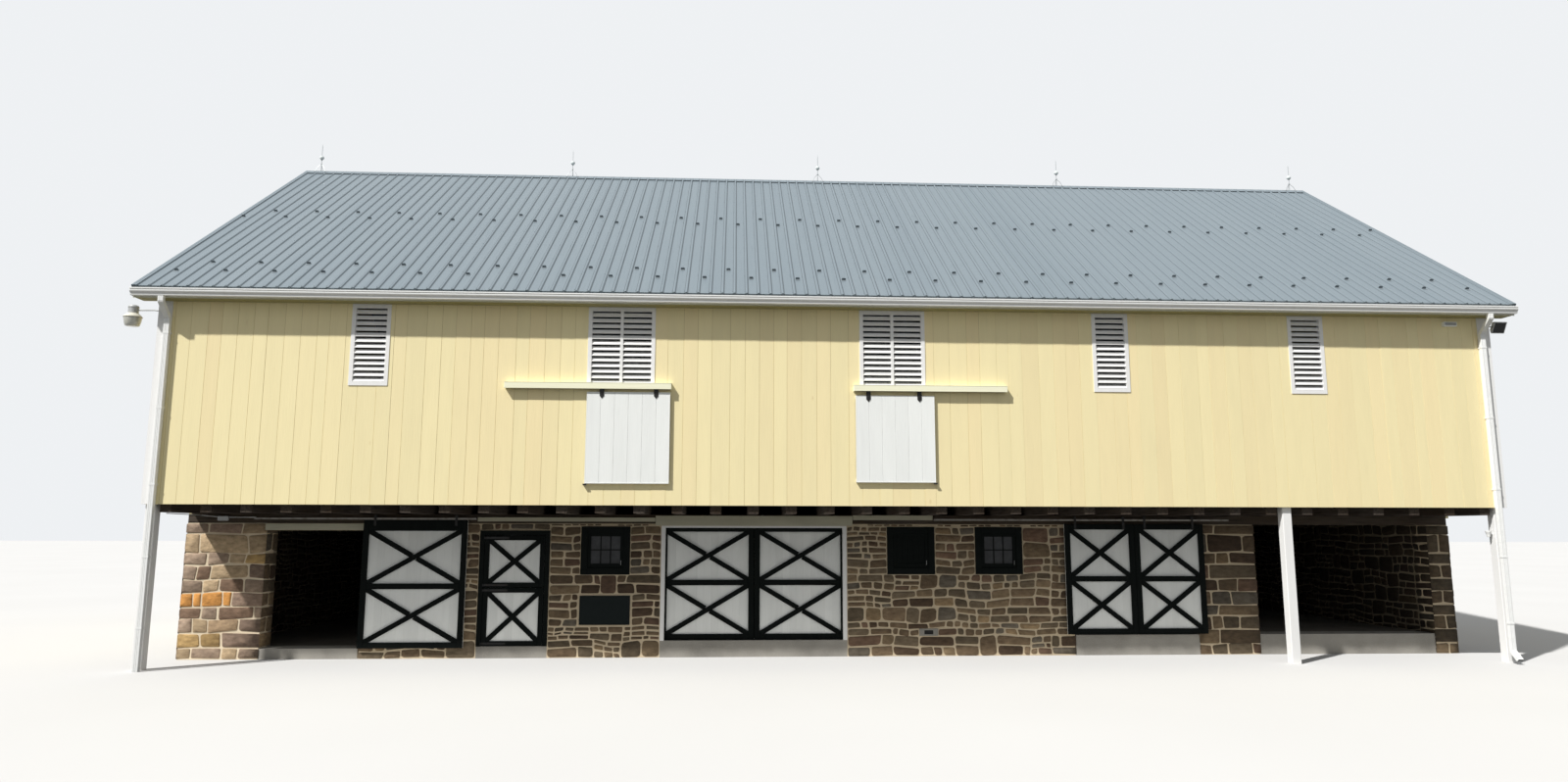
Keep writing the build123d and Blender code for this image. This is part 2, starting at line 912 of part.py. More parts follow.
def gutter(side):
    """A trough with an ogee front, a rolled lip and closed ends, hung on the fascia."""
    back = side * fascia_face
    outward = side * gutter_depth
    bottom = gutter_top - gutter_height

    def profile(inset):
        return [
            (back + side * inset, gutter_top),
            (back + side * inset, bottom + inset),
            (back + outward * 0.58 - side * inset / 2, bottom + inset),
            (back + outward * 0.68 - side * inset, bottom + gutter_height * 0.3),
            (back + outward - side * inset, bottom + gutter_height * 0.62),
            (back + outward - side * inset, gutter_top),
        ]

    with BuildPart() as trough:
        with BuildSketch(Plane.YZ.offset(-roof_end)):
            with BuildLine():
                Polyline(*profile(0), close=True)
            make_face()
        extrude(amount=2 * roof_end)
        with BuildSketch(Plane.YZ.offset(-roof_end + gutter_wall)):
            with BuildLine():
                Polyline(*profile(gutter_wall), close=True)
            make_face()
        extrude(amount=2 * (roof_end - gutter_wall), mode=Mode.SUBTRACT)
    return trough


finish(gutter(-1), "front_gutter")
finish(gutter(1), "rear_gutter")

# Rake boards under the roof's gable edges
with BuildPart() as rake_boards:
    for end in (-1, 1):
        for side in (-1, 1):
            start = end * roof_end if end < 0 else roof_end - rake_board_thickness
            drop = rake_board_height / math.cos(slope)
            low = side * fascia_face
            with BuildSketch(Plane.YZ.offset(start)):
                with BuildLine():
                    Polyline(
                        (0, roof_underside(0) - seat_gap),
                        (low, roof_underside(low) - seat_gap),
                        (low, roof_underside(low) - seat_gap - drop),
                        (0, roof_underside(0) - seat_gap - drop),
                        close=True,
                    )
                make_face()
            extrude(amount=rake_board_thickness)
finish(rake_boards, "rake_boards")

# Downspouts, from the gutter back to the wall. The left ones run into the ground and the right
# ones end in a shoe.
spout_y = half_depth + corner_board_thickness + spout_standoff + spout_depth / 2
outlet_y = fascia_face + gutter_depth / 3
gutter_bottom = gutter_top - gutter_height
elbow = fascia_bottom - spout_depth
with BuildPart() as downspouts:
    for end in (-1, 1):
        for side in (-1, 1):
            x = end * (half_length - spout_inset)
            stops = [
                (x, side * outlet_y, gutter_bottom),
                (x, side * outlet_y, elbow),
                (x, side * spout_y, elbow - (outlet_y - spout_y)),
            ]
            if end < 0:
                stops += [(x, side * spout_y, 0)]
            else:
                stops += [
                    (x, side * spout_y, spout_bottom + 2 * spout_depth),
                    (x, side * (spout_y + 2 * spout_depth), spout_bottom),
                ]
            with BuildLine() as route:
                Polyline(*stops)
            with BuildSketch(Plane(origin=route.line @ 0, z_dir=route.line % 0, x_dir=(1, 0, 0))):
                Rectangle(spout_width, spout_depth)
            sweep(path=route.line, transition=Transition.RIGHT)
finish(downspouts, "downspouts")

# Sliding doors and their tracks
slide_front = wall_face - slide_standoff - leaf_thickness
west_leaf_x = (along(slide_leaf_west[0]), along(slide_leaf_west[1]))
west_slide_door = braced_leaf(
    west_leaf_x,
    slide_leaf_west[2:],
    slide_front,
    leaf_thickness,
    stile,
    rail,
    2,
    hangers={
        "rail_bottom": track_bottom,
        "spots": (west_leaf_x[0] + hanger_inset, west_leaf_x[1] - hanger_inset),
    },
)
finish(west_slide_door, "west_slide_door")
finish(track(west_track, track_bottom, slide_front + roller_width), "west_track")

east_middle = along(sum(slide_leaf_east) / 2)
half_gap = slide_leaf_meeting_gap / 2
east_leaves = {
    "east_slide_left": (along(slide_leaf_east[0]), east_middle - half_gap),
    "east_slide_right": (east_middle + half_gap, along(slide_leaf_east[1])),
}
for name, limits in east_leaves.items():
    leaf = braced_leaf(
        limits,
        (slide_leaf_east_bottom, slide_leaf_east_top),
        slide_front,
        leaf_thickness,
        stile,
        rail,
        2,
        hangers={
            "rail_bottom": track_bottom,
            "spots": (limits[0] + hanger_inset, limits[1] - hanger_inset),
        },
    )
    finish(leaf, name)
finish(track(east_track, track_bottom, slide_front + roller_width), "east_track")

# Centre pair in its white casing, hung behind the casing on pins in the stone jambs
centre_front = wall_face + centre_casing_depth + centre_leaf_setback
centre_middle = along(sum(centre_opening) / 2)
centre_z = (centre_sill + centre_stop_gap, centre_head - centre_stop_gap)
centre_pin_x = centre_stop_gap + centre_pin_inset
centre_pin_y = centre_front + leaf_thickness + eye_radius
centre_pins = (
    (along(centre_opening[0]) + centre_pin_x, centre_pin_y),
    (along(centre_opening[1]) - centre_pin_x, centre_pin_y),
)
centre_hinge_heights = (centre_z[0] + centre_strap_inset, centre_z[1] - centre_strap_inset)

with BuildPart() as centre_door_casing:
    with BuildSketch(front_plane(wall_face + centre_casing_depth)):
        with Locations((centre_middle, (centre_sill + centre_head) / 2)):
            Rectangle(
                centre_opening[1] - centre_opening[0] - 2 * seat_gap,
                centre_head - centre_sill - 2 * seat_gap,
            )
        with Locations((centre_middle, (centre_sill + centre_head - centre_casing / 2) / 2)):
            Rectangle(
                centre_opening[1] - centre_opening[0] - 2 * centre_casing,
                centre_head - centre_sill - centre_casing / 2,
                mode=Mode.SUBTRACT,
            )
    extrude(amount=centre_casing_depth + frame_proud)
    for height in centre_hinge_heights:
        for pin, jamb in zip(centre_pins, centre_opening):
            inward = 1 if pin[0] > along(jamb) else -1
            lug_x = sorted((along(jamb) + inward * seat_gap, pin[0] + inward * pin_radius))
            add(pintle(pin, height, lug_x, (pin[1] - pin_radius, pin[1] + pin_radius)).part)
finish(centre_door_casing, "centre_door_casing")

centre_leaves = {
    "centre_door_left": (along(centre_opening[0]) + centre_stop_gap, centre_middle - centre_meeting_gap / 2),
    "centre_door_right": (centre_middle + centre_meeting_gap / 2, along(centre_opening[1]) - centre_stop_gap),
}
for (name, limits), pin, reach in zip(centre_leaves.items(), centre_pins, (strap_length, -strap_length)):
    straps = [strap(pin, height, reach, -1) for height in centre_hinge_heights]
    leaf = braced_leaf(limits, centre_z, centre_front, leaf_thickness, stile, rail, 2, straps=straps)
    finish(leaf, name)

# Split door in its dark frame, hung on pins on the frame's face
dutch_front = wall_face - frame_proud
dutch_x = (
    along(dutch_opening[0]) + dutch_frame + leaf_gap,
    along(dutch_opening[1]) - dutch_frame - leaf_gap,
)
dutch_pin = (dutch_x[0] - leaf_gap / 2, dutch_front - eye_radius)
dutch_halves = {
    "dutch_door_lower": (dutch_sill + leaf_gap, dutch_split - leaf_gap / 2),
    "dutch_door_upper": (dutch_split + leaf_gap / 2, door_head - dutch_frame - leaf_gap),
}

with BuildPart() as dutch_door_frame:
    with BuildSketch(front_plane(dutch_front + dutch_frame_depth)):
        with Locations((along(sum(dutch_opening) / 2), (dutch_sill + door_head) / 2)):
            Rectangle(
                dutch_opening[1] - dutch_opening[0] - 2 * seat_gap,
                door_head - dutch_sill - 2 * seat_gap,
            )
        with Locations((along(sum(dutch_opening) / 2), (dutch_sill + door_head - dutch_frame) / 2)):
            Rectangle(
                dutch_opening[1] - dutch_opening[0] - 2 * dutch_frame,
                door_head - dutch_sill - dutch_frame,
                mode=Mode.SUBTRACT,
            )
    extrude(amount=dutch_frame_depth)
    for low, high in dutch_halves.values():
        for height in (low + dutch_stile / 2, high - dutch_stile / 2):
            lug_x = (dutch_pin[0] - lug_length, dutch_pin[0] + pin_radius)
            add(pintle(dutch_pin, height, lug_x, (dutch_pin[1] - pin_radius, dutch_front)).part)
finish(dutch_door_frame, "dutch_door_frame")

for name, (low, high) in dutch_halves.items():
    straps = [
        strap(dutch_pin, height, strap_length, 1)
        for height in (low + dutch_stile / 2, high - dutch_stile / 2)
    ]
    leaf = braced_leaf(
        dutch_x,
        (low, high),
        dutch_front,
        dutch_leaf_thickness,
        dutch_stile,
        dutch_stile,
        1,
        straps=straps,
    )
    finish(leaf, name)

# Lightning rods along the ridge, each through a glass globe
rod_base = ridge_height + crown + cap_rise
rod_step = (wall_length - 2 * rod_end_inset) / (rod_count - 1)
rod_spots = [(-half_length + rod_end_inset + index * rod_step, 0, rod_base) for index in range(rod_count)]
rod = turned(
    (
        (rod_foot_radius, 0),
        (rod_radius, rod_foot_radius),
        (rod_radius, rod_knob_height - rod_knob_radius),
        (rod_knob_radius, rod_knob_height),
        (rod_radius, rod_knob_height + rod_knob_radius),
        (rod_radius, rod_height - rod_tip),
        (rod_radius / 8, rod_height),
    ),
    coarse_flats,
)
lightning_rods = BuildPart()
with lightning_rods:
    with Locations(*rod_spots):
        add(rod.part)
finish(lightning_rods, "lightning_rods")

globe_turns = [math.radians(turn) for turn in (-75, -45, -15, 15, 45, 75)]
globe_shell = turned(
    [
        (rod_globe_radius * math.cos(turn), rod_globe_height + rod_globe_radius * math.sin(turn))
        for turn in globe_turns
    ],
    coarse_flats,
)
globe_bore = turned(
    [
        (rod_radius + seat_gap, rod_globe_height + end * rod_globe_radius)
        for end in (-1, 1)
    ],
    coarse_flats,
)
with BuildPart() as globe:
    add(globe_shell.part)
    add(globe_bore.part, mode=Mode.SUBTRACT)
rod_globes = BuildPart()
with rod_globes:
    with Locations(*rod_spots):
        add(globe.part)
finish(rod_globes, "rod_globes")

# Yard light on an arm from the left gable, close to the front corner
lamp_x = -half_length - lamp_reach
lamp_y = front_face + lamp_back
lamp = turned(
    (
        (lamp_bowl_foot_radius, lamp_height - lamp_bowl_drop),
        (lamp_bowl_radius, lamp_height - lamp_shade_drop),
        (lamp_shade_radius, lamp_height - lamp_shade_drop + lamp_rim),
        (lamp_housing_radius, lamp_height - lamp_housing_drop),
        (lamp_housing_radius, lamp_height + lamp_housing_rise),
    ),
    fine_flats,
)
half_arm = lamp_arm_size / 2
lamp_arm = beam(
    (lamp_x, -half_length),
    (lamp_y - half_arm, lamp_y + half_arm),
    (lamp_height - half_arm, lamp_height + half_arm),
)
with BuildPart() as yard_light:
    with Locations((lamp_x, lamp_y, 0)):
        add(lamp.part)
    add(lamp_arm.part)
finish(yard_light, "yard_light")

# Small lamps at the right corner: a flood light off the corner board, a sensor box on the siding
# and a lamp on the post
board_face = half_length + corner_board_thickness
flood_x = board_face + flood_reach
flood_y = front_face + flood_back
flood_z = fascia_bottom - flood_drop
flood_arm_beam = beam(
    (board_face, flood_x),
    (flood_y - flood_arm / 2, flood_y + flood_arm / 2),
    (flood_z - flood_arm / 2, flood_z + flood_arm / 2),
)
sensor_top = fascia_bottom - sensor_drop + sensor_height
sensor_box = beam(
    (along(sensor_start), along(sensor_start + sensor_width)),
    (front_face - sensor_depth, front_face),
    (sensor_top - sensor_height, sensor_top),
)
post_face = half_length - corner_post_inset - post_size
post_lamp_x = post_face - post_lamp_arm
post_lamp_y = front_inner + post_size / 2
post_lamp = turned(
    (
        (post_lamp_radius / 2, post_lamp_height - post_lamp_length / 2),
        (post_lamp_radius, post_lamp_height + post_lamp_length / 2),
    ),
    coarse_flats,
)
post_lamp_arm_beam = beam(
    (post_lamp_x, post_face),
    (post_lamp_y - flood_arm / 2, post_lamp_y + flood_arm / 2),
    (post_lamp_height - flood_arm / 2, post_lamp_height + flood_arm / 2),
)
with BuildPart() as corner_lamps:
    with BuildSketch(Plane.YZ.offset(flood_x)):
        with Locations((flood_y, flood_z)):
            Rectangle(flood_depth, flood_height, rotation=flood_tilt)
    extrude(amount=flood_width)
    add(flood_arm_beam.part)
    add(sensor_box.part)
    with Locations((post_lamp_x, post_lamp_y, 0)):
        add(post_lamp.part)
    add(post_lamp_arm_beam.part)
finish(corner_lamps, "corner_lamps")
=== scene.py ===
import math
import random

import bpy
from mathutils import Matrix, Vector, noise


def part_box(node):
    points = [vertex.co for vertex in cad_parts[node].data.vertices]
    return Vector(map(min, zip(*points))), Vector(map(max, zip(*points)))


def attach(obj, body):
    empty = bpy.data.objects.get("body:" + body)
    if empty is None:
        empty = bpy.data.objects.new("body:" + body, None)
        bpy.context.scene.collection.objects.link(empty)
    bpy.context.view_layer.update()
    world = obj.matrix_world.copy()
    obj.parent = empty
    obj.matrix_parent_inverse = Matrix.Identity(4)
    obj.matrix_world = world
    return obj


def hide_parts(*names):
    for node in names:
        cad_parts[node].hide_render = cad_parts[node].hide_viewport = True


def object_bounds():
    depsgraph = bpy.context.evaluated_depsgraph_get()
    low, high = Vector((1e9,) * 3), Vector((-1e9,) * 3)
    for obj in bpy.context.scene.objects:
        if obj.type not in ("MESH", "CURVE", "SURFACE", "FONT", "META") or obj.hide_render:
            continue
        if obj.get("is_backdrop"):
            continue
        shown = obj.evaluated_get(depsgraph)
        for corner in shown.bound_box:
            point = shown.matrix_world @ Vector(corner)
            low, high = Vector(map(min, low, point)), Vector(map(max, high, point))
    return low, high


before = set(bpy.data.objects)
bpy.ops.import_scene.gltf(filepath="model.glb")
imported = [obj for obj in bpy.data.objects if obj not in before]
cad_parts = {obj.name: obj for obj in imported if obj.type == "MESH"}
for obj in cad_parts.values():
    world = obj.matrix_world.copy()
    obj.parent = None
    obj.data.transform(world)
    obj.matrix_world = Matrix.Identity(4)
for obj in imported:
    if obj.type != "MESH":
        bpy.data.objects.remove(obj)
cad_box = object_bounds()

noise.seed_set(1)  # it is seeded from the clock otherwise

# Places that come from the frame, in metres. X runs along the front, Y to the back and Z up.
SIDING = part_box("front_siding")
HALF_LENGTH = SIDING[1].x
FRONT = SIDING[0].y
REAR = -FRONT
SIDING_BOTTOM = SIDING[0].z
WALL_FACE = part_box("front_wall_east")[0].y
WALL_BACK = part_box("front_wall_east")[1].y
STONE_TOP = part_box("front_wall_east")[1].z
PLATE_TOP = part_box("front_plate")[1].z
LEFT_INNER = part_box("left_gable_wall")[1].x
RIGHT_INNER, RIGHT_OUTER = (corner.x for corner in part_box("right_gable_wall"))
REAR_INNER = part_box("rear_stone_wall")[0].y
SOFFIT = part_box("front_fascia")[0].z
ROOF_LOW, ROOF_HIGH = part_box("front_roof")
RIDGE_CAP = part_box("ridge_cap")
SLOPE = math.radians(35)
RIB_PITCH = 0.2286
RIB_COUNT = 116
RIB_FOOT = 0.031
UP = Vector((0, 0, 1))
ALONG = Vector((1, 0, 0))
DARK = (0.06, 0.05, 0.03)
WHITE_TINT = (1, 1, 1)


# Meshes
class Shape:
    """Points and faces of one piece, with a tint and a seed at each point for its finish."""

    def __init__(self):
        self.points = []
        self.faces = []
        self.tints = []
        self.seeds = []

    def add(self, points, faces, tint=WHITE_TINT, seed=0.0):
        start = len(self.points)
        self.points.extend(tuple(point) for point in points)
        self.faces.extend(tuple(start + index for index in face) for face in faces)
        self.tints.extend([tint] * len(points))
        self.seeds.extend([seed] * len(points))

    def rings(self, rings, closed=True, caps=False, tint=WHITE_TINT, seed=0.0):
        """Joins rings of equal length with quads. Rings turn left around the way they advance."""
        count = len(rings[0])
        points = [point for ring in rings for point in ring]
        faces = []
        for row in range(len(rings) - 1):
            for index in range(count if closed else count - 1):
                after = (index + 1) % count
                low, high = row * count, (row + 1) * count
                faces.append((low + index, low + after, high + after, high + index))
        if caps:
            faces.append(tuple(reversed(range(count))))
            faces.append(tuple(range(len(points) - count, len(points))))
        self.add(points, faces, tint, seed)

    def prism(self, place, outline, low, high, chamfer=0.0, tint=WHITE_TINT, seed=0.0):
        """A convex outline pushed from depth low to high, with a chamfer round its outer face."""
        levels = [(outline, low)]
        if chamfer:
            levels += [(outline, high - chamfer), (inset(outline, chamfer), high)]
        else:
            levels += [(outline, high)]
        rings = [[place @ Vector((u, v, depth)) for u, v in ring] for ring, depth in levels]
        self.rings(rings, caps=True, tint=tint, seed=seed)

    def block(self, x, y, z, chamfer=0.0):
        """An upright timber or plate between three pairs of limits, chamfered along Z."""
        outline = cut_corners(x, y, chamfer) if chamfer else rectangle(*x, *y)
        self.prism(Matrix.Identity(4), outline, *z)

    def revolve(self, place, profile, sides, ripple=0.0, caps=True):
        """Turns a profile of (radius, height) about the place's third axis. ripple draws in every other side."""
        rings = []
        for radius, height in profile:
            ring = []
            for side in range(sides):
                turn = 2 * math.pi * side / sides
                reach = radius * (1 - ripple * (side % 2))
                ring.append(place @ Vector((reach * math.cos(turn), reach * math.sin(turn), height)))
            rings.append(ring)
        self.rings(rings, caps=caps)

    def tube(self, path, radius, sides=8):
        """A round bar along a path of points."""
        rings = []
        for index, point in enumerate(path):
            before, after = neighbours(path, index)
            tangent = (Vector(after) - Vector(before)).normalized()
            side = tangent.cross(UP if abs(tangent.z) < 0.9 else ALONG).normalized()
            over = tangent.cross(side)
            ring = []
            for step in range(sides):
                turn = 2 * math.pi * step / sides
                ring.append(Vector(point) + radius * (math.cos(turn) * side + math.sin(turn) * over))
            rings.append(ring)
        self.rings(rings, caps=True)


def neighbours(path, index):
    """The points before and after one in a path. An end is its own neighbour."""
    return path[max(index - 1, 0)], path[min(index + 1, len(path) - 1)]


def rectangle(u0, u1, v0, v1):
    return [(u0, v0), (u1, v0), (u1, v1), (u0, v1)]


def grown(limits, amount):
    """A rectangle's four limits, moved out by an amount."""
    u0, u1, v0, v1 = limits
    return (u0 - amount, u1 + amount, v0 - amount, v1 + amount)


def bars_round(outer, inner):
    """The four bars between two rectangles: both uprights, then the lower and the upper bar between them."""
    (a, b, c, d), (e, f, g, h) = outer, inner
    return ((a, e, c, d), (f, b, c, d), (e, f, c, g), (e, f, h, d))


def stretches(start, end, count):
    """Equal stretches between two limits."""
    width = (end - start) / count
    for index in range(count):
        left = start + index * width
        yield left, left + width


def cut_corners(u, v, cut):
    """A rectangle with its four corners cut off."""
    return [
        (u[0] + cut, v[0]), (u[1] - cut, v[0]), (u[1], v[0] + cut), (u[1], v[1] - cut),
        (u[1] - cut, v[1]), (u[0] + cut, v[1]), (u[0], v[1] - cut), (u[0], v[0] + cut),
    ]


def inset(outline, amount):
    """A convex outline that turns left, moved inwards by an amount."""
    count = len(outline)
    moved = []
    for index in range(count):
        here = Vector(outline[index])
        before = (here - Vector(outline[index - 1])).normalized()
        after = (Vector(outline[(index + 1) % count]) - here).normalized()
        first, second = Vector((-before.y, before.x)), Vector((-after.y, after.x))
        moved.append(tuple(here + (first + second) * amount / (1 + first.dot(second))))
    return moved


def clipped(outline, u0, u1, v0, v1):
    """The part of a convex outline inside a rectangle."""
    for axis, limit, keep in ((0, u0, 1), (0, u1, -1), (1, v0, 1), (1, v1, -1)):
        result = []
        for index, here in enumerate(outline):
            before = outline[index - 1]
            inside = (here[axis] - limit) * keep >= 0
            was_inside = (before[axis] - limit) * keep >= 0
            if inside != was_inside:
                share = (limit - before[axis]) / (here[axis] - before[axis])
                result.append(tuple(b + share * (h - b) for b, h in zip(before, here)))
            if inside:
                result.append(here)
        outline = result
    return outline


def place_of(right, up, out, origin):
    """The place with these three axes at an origin."""
    place = Matrix.Identity(4)
    for column, axis in enumerate((right, up, out, origin)):
        place.col[column][:3] = axis
    return place


def turned(degrees, axis):
    return Matrix.Rotation(math.radians(degrees), 4, axis)


def facing(direction, at):
    """The place of a wall face at an X or Y: u to the right, v up and depth outwards, as seen from outside."""
    outwards = {
        "front": Vector((0, -1, 0)), "rear": Vector((0, 1, 0)),
        "left": Vector((-1, 0, 0)), "right": Vector((1, 0, 0)),
    }[direction]
    origin = outwards * (at * (outwards.x + outwards.y))
    return place_of(UP.cross(outwards), UP, outwards, origin)


def front_box(node):
    """A node's limits as seen from the front: both in X, then both in Z."""
    low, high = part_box(node)
    return (low.x, high.x, low.z, high.z)


def add_object(name, data):
    made = bpy.data.objects.new(name, data)
    bpy.context.scene.collection.objects.link(made)
    return made


def make(name, shape, finish, body="barn", replaces=(), smooth=False):
    """Turns a shape into a piece with a named finish that rides on a body."""
    mesh = bpy.data.meshes.new(name)
    mesh.from_pydata(shape.points, [], shape.faces)
    tints = mesh.attributes.new("Tint", "FLOAT_COLOR", "POINT")
    tints.data.foreach_set("color", [value for tint in shape.tints for value in (*tint, 1)])
    seeds = mesh.attributes.new("Seed", "FLOAT", "POINT")
    seeds.data.foreach_set("value", shape.seeds)
    mesh.polygons.foreach_set("use_smooth", [smooth] * len(mesh.polygons))
    mesh.materials.append(finishes[finish])
    mesh.update()
    piece = add_object(name, mesh)
    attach(piece, body)
    if replaces:
        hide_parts(*replaces)
    return piece


# Finishes
class Finish:
    """A node material, with short calls for the nodes that the finishes share."""

    def __init__(self, name, roughness, metallic=0.0, seeded=False, specular=0.5):
        self.material = bpy.data.materials.new(name)
        self.material.use_nodes = True
        self.tree = self.material.node_tree
        self.shader = self.tree.nodes["Principled BSDF"]
        self.shader.inputs["Roughness"].default_value = roughness
        self.shader.inputs["Metallic"].default_value = metallic
        self.shader.inputs["Specular IOR Level"].default_value = specular
        self.place = self.tree.nodes.new("ShaderNodeTexCoord").outputs["Object"]
        if seeded:
            seed = self.node("ShaderNodeAttribute", attribute_name="Seed").outputs["Fac"]
            self.place = self.vector("ADD", self.place, self.vector("SCALE", (3.1, 5.3, 7.7), scale=seed))

    def node(self, kind, **settings):
        made = self.tree.nodes.new(kind)
        for key, value in settings.items():
            setattr(made, key, value)
        return made

    def put(self, socket, value):
        if isinstance(value, bpy.types.NodeSocket):
            self.tree.links.new(value, socket)
        elif socket.type == "RGBA":
            socket.default_value = (*value[:3], 1)
        else:
            socket.default_value = value

    def vector(self, operation, first, second=None, scale=None):
        made = self.node("ShaderNodeVectorMath", operation=operation)
        self.put(made.inputs[0], first)
        if second is not None:
            self.put(made.inputs[1], second)
        if scale is not None:
            self.put(made.inputs["Scale"], scale)
        return made.outputs[0]

    def math(self, operation, first, second=0.5):
        made = self.node("ShaderNodeMath", operation=operation)
        self.put(made.inputs[0], first)
        self.put(made.inputs[1], second)
        return made.outputs[0]

    def axis(self, name):
        split = self.node("ShaderNodeSeparateXYZ")
        self.put(split.inputs[0], self.place)
        return split.outputs[name]

    def noise(self, scale, detail=3.0, stretch=(1, 1, 1)):
        """Noise with a scale in waves a metre, drawn out along an axis by a small stretch."""
        made = self.node("ShaderNodeTexNoise")
        self.put(made.inputs["Vector"], self.vector("MULTIPLY", self.place, stretch))
        self.put(made.inputs["Scale"], scale)
        self.put(made.inputs["Detail"], detail)
        return made.outputs["Fac"]

    def cells(self, scale, stretch=(1, 1, 1)):
        """Distances to scattered points, with a scale in points a metre."""
        made = self.node("ShaderNodeTexVoronoi")
        self.put(made.inputs["Vector"], self.vector("MULTIPLY", self.place, stretch))
        self.put(made.inputs["Scale"], scale)
        return made.outputs["Distance"]

    def between(self, value, low, high, start=0.0, end=1.0):
        """Start below low, end above high, and even in between."""
        made = self.node("ShaderNodeMapRange")
        for socket, number in zip(made.inputs, (value, low, high, start, end)):
            self.put(socket, number)
        return made.outputs[0]

    def mix(self, share, first, second, blend="MIX"):
        made = self.node("ShaderNodeMix", data_type="RGBA", blend_type=blend)
        for index, value in ((0, share), (6, first), (7, second)):
            self.put(made.inputs[index], value)
        return made.outputs[2]

    def tint(self):
        return self.node("ShaderNodeAttribute", attribute_name="Tint").outputs["Color"]

    def done(self, colour, height=None, depth=0.002, roughness=None):
        """The material with this colour, and with a height that bumps it by a depth in metres."""
        self.put(self.shader.inputs["Base Color"], colour)
        if roughness is not None:
            self.put(self.shader.inputs["Roughness"], roughness)
        if height is not None:
            bump = self.node("ShaderNodeBump")
            self.put(bump.inputs["Height"], height)
            self.put(bump.inputs["Distance"], depth)
            self.put(self.shader.inputs["Normal"], bump.outputs[0])
        return self.material


def drawn_along(axis, share=0.05):
    """A stretch that draws noise out along one axis."""
    return tuple(share if name == axis else 1 for name in "XYZ")


PAINT_ROUGHNESS = 0.6


def painted_wood(name, colour, axis="Z", tinted=False, wear=0.10, knots=0.0, specular=0.35):
    """Paint over wood, with grain along an axis, faint knots and weather streaks."""
    paint = Finish(name, PAINT_ROUGHNESS, seeded=tinted, specular=specular)
    grain = paint.noise(70, 3, drawn_along(axis, 0.04))
    streak = paint.noise(7, 3, drawn_along(axis, 0.12))
    worn = tuple(value * 0.72 for value in colour)
    shade = paint.mix(paint.between(streak, 0.42, 0.75, 0, wear * 2), colour, worn)
    shade = paint.mix(paint.between(grain, 0.5, 0.85, 0, wear * 2), shade, worn)
    if knots:
        spots = paint.cells(1.7, drawn_along(axis, 0.45))
        brown = (colour[0] * 0.62, colour[1] * 0.48, colour[2] * 0.30)
        shade = paint.mix(paint.between(spots, 0.018, 0.05, knots, 0), shade, brown)
    if tinted:
        shade = paint.mix(1.0, shade, paint.tint(), "MULTIPLY")
    rough = paint.between(streak, 0.3, 0.8, PAINT_ROUGHNESS, PAINT_ROUGHNESS + 0.15)
    return paint.done(shade, grain, 0.0015, rough)


def old_wood(name, colour, axis, plank=None):
    """Bare weathered timber, with dark checks along its grain. plank is its width across X or Y."""
    wood = Finish(name, 0.85, specular=0.2)
    grain = wood.noise(34, 5, drawn_along(axis, 0.05))
    patch = wood.noise(1.6, 3, drawn_along(axis, 0.4))
    dark = tuple(value * 0.35 for value in colour)
    grey = tuple(0.8 * value + 0.03 for value in colour)
    shade = wood.mix(wood.between(patch, 0.35, 0.7), colour, grey)
    shade = wood.mix(wood.between(grain, 0.48, 0.72), shade, dark)
    height = grain
    if plank:
        across = wood.axis("Y" if axis == "X" else "X")
        edge = wood.math("PINGPONG", across, plank / 2)
        shade = wood.mix(wood.between(edge, 0.002, 0.008, 0.9, 0), shade, DARK)
        height = wood.math("MULTIPLY", grain, wood.between(edge, 0.002, 0.008))
    return wood.done(shade, height, 0.006)


def masonry_finish(name):
    """Stone faces, each in its own colour."""
    stone = Finish(name, 0.88, seeded=True, specular=0.25)
    broad = stone.noise(8, 5, (1, 1, 1.8))
    fine = stone.noise(38, 5)
    bedding = stone.noise(26, 3, (1, 1, 3.5))
    tint = stone.tint()
    light = stone.mix(1.0, tint, (1.28, 1.26, 1.22), "MULTIPLY")
    dark = stone.mix(1.0, tint, (0.62, 0.59, 0.56), "MULTIPLY")
    shade = stone.mix(stone.between(broad, 0.3, 0.7), dark, light)
    shade = stone.mix(stone.between(fine, 0.35, 0.65, 0, 0.4), shade, tint)
    height = stone.math("ADD", fine, stone.math("MULTIPLY", bedding, 0.7))
    return stone.done(shade, height, 0.010)


# Where the pointing turns from its own colour outside to painted shade inside, in X from the middle and in Y
INDOOR_SHADE_ENDS = (12.44, 12.48)
INDOOR_SHADE_REAR = (6.2, 6.3)
INDOOR_SHADE_FRONT = (-4.5, -4.4)
# How dark the pointing is inside: painted shade.
INDOOR_SHADE = 0.36


def mortar_finish(name, colour):
    """Sandy lime pointing, darkened on the inner faces of the walls by painted shade."""
    lime = Finish(name, 0.92, specular=0.25)
    grit = lime.noise(110, 3)
    patch = lime.noise(2.2, 4)
    dark = tuple(value * 0.70 for value in colour)
    shade = lime.mix(lime.between(patch, 0.35, 0.75, 0, 0.7), colour, dark)
    ends = lime.between(lime.math("ABSOLUTE", lime.axis("X")), *INDOOR_SHADE_ENDS)
    rear = lime.between(lime.axis("Y"), *INDOOR_SHADE_REAR)
    front = lime.between(lime.axis("Y"), *INDOOR_SHADE_FRONT, 1, 0)
    outdoors = lime.math("MAXIMUM", ends, lime.math("MAXIMUM", rear, front))
    # Inside, the pointing is darkened: painted shade of the barn's dark inside.
    shade = lime.mix(outdoors, tuple(value * INDOOR_SHADE for value in colour), shade)
    height = lime.math("ADD", grit, lime.math("MULTIPLY", lime.noise(9, 3), 3.0))
    return lime.done(shade, height, 0.004)


SHEET_WIDTH = 4 * RIB_PITCH


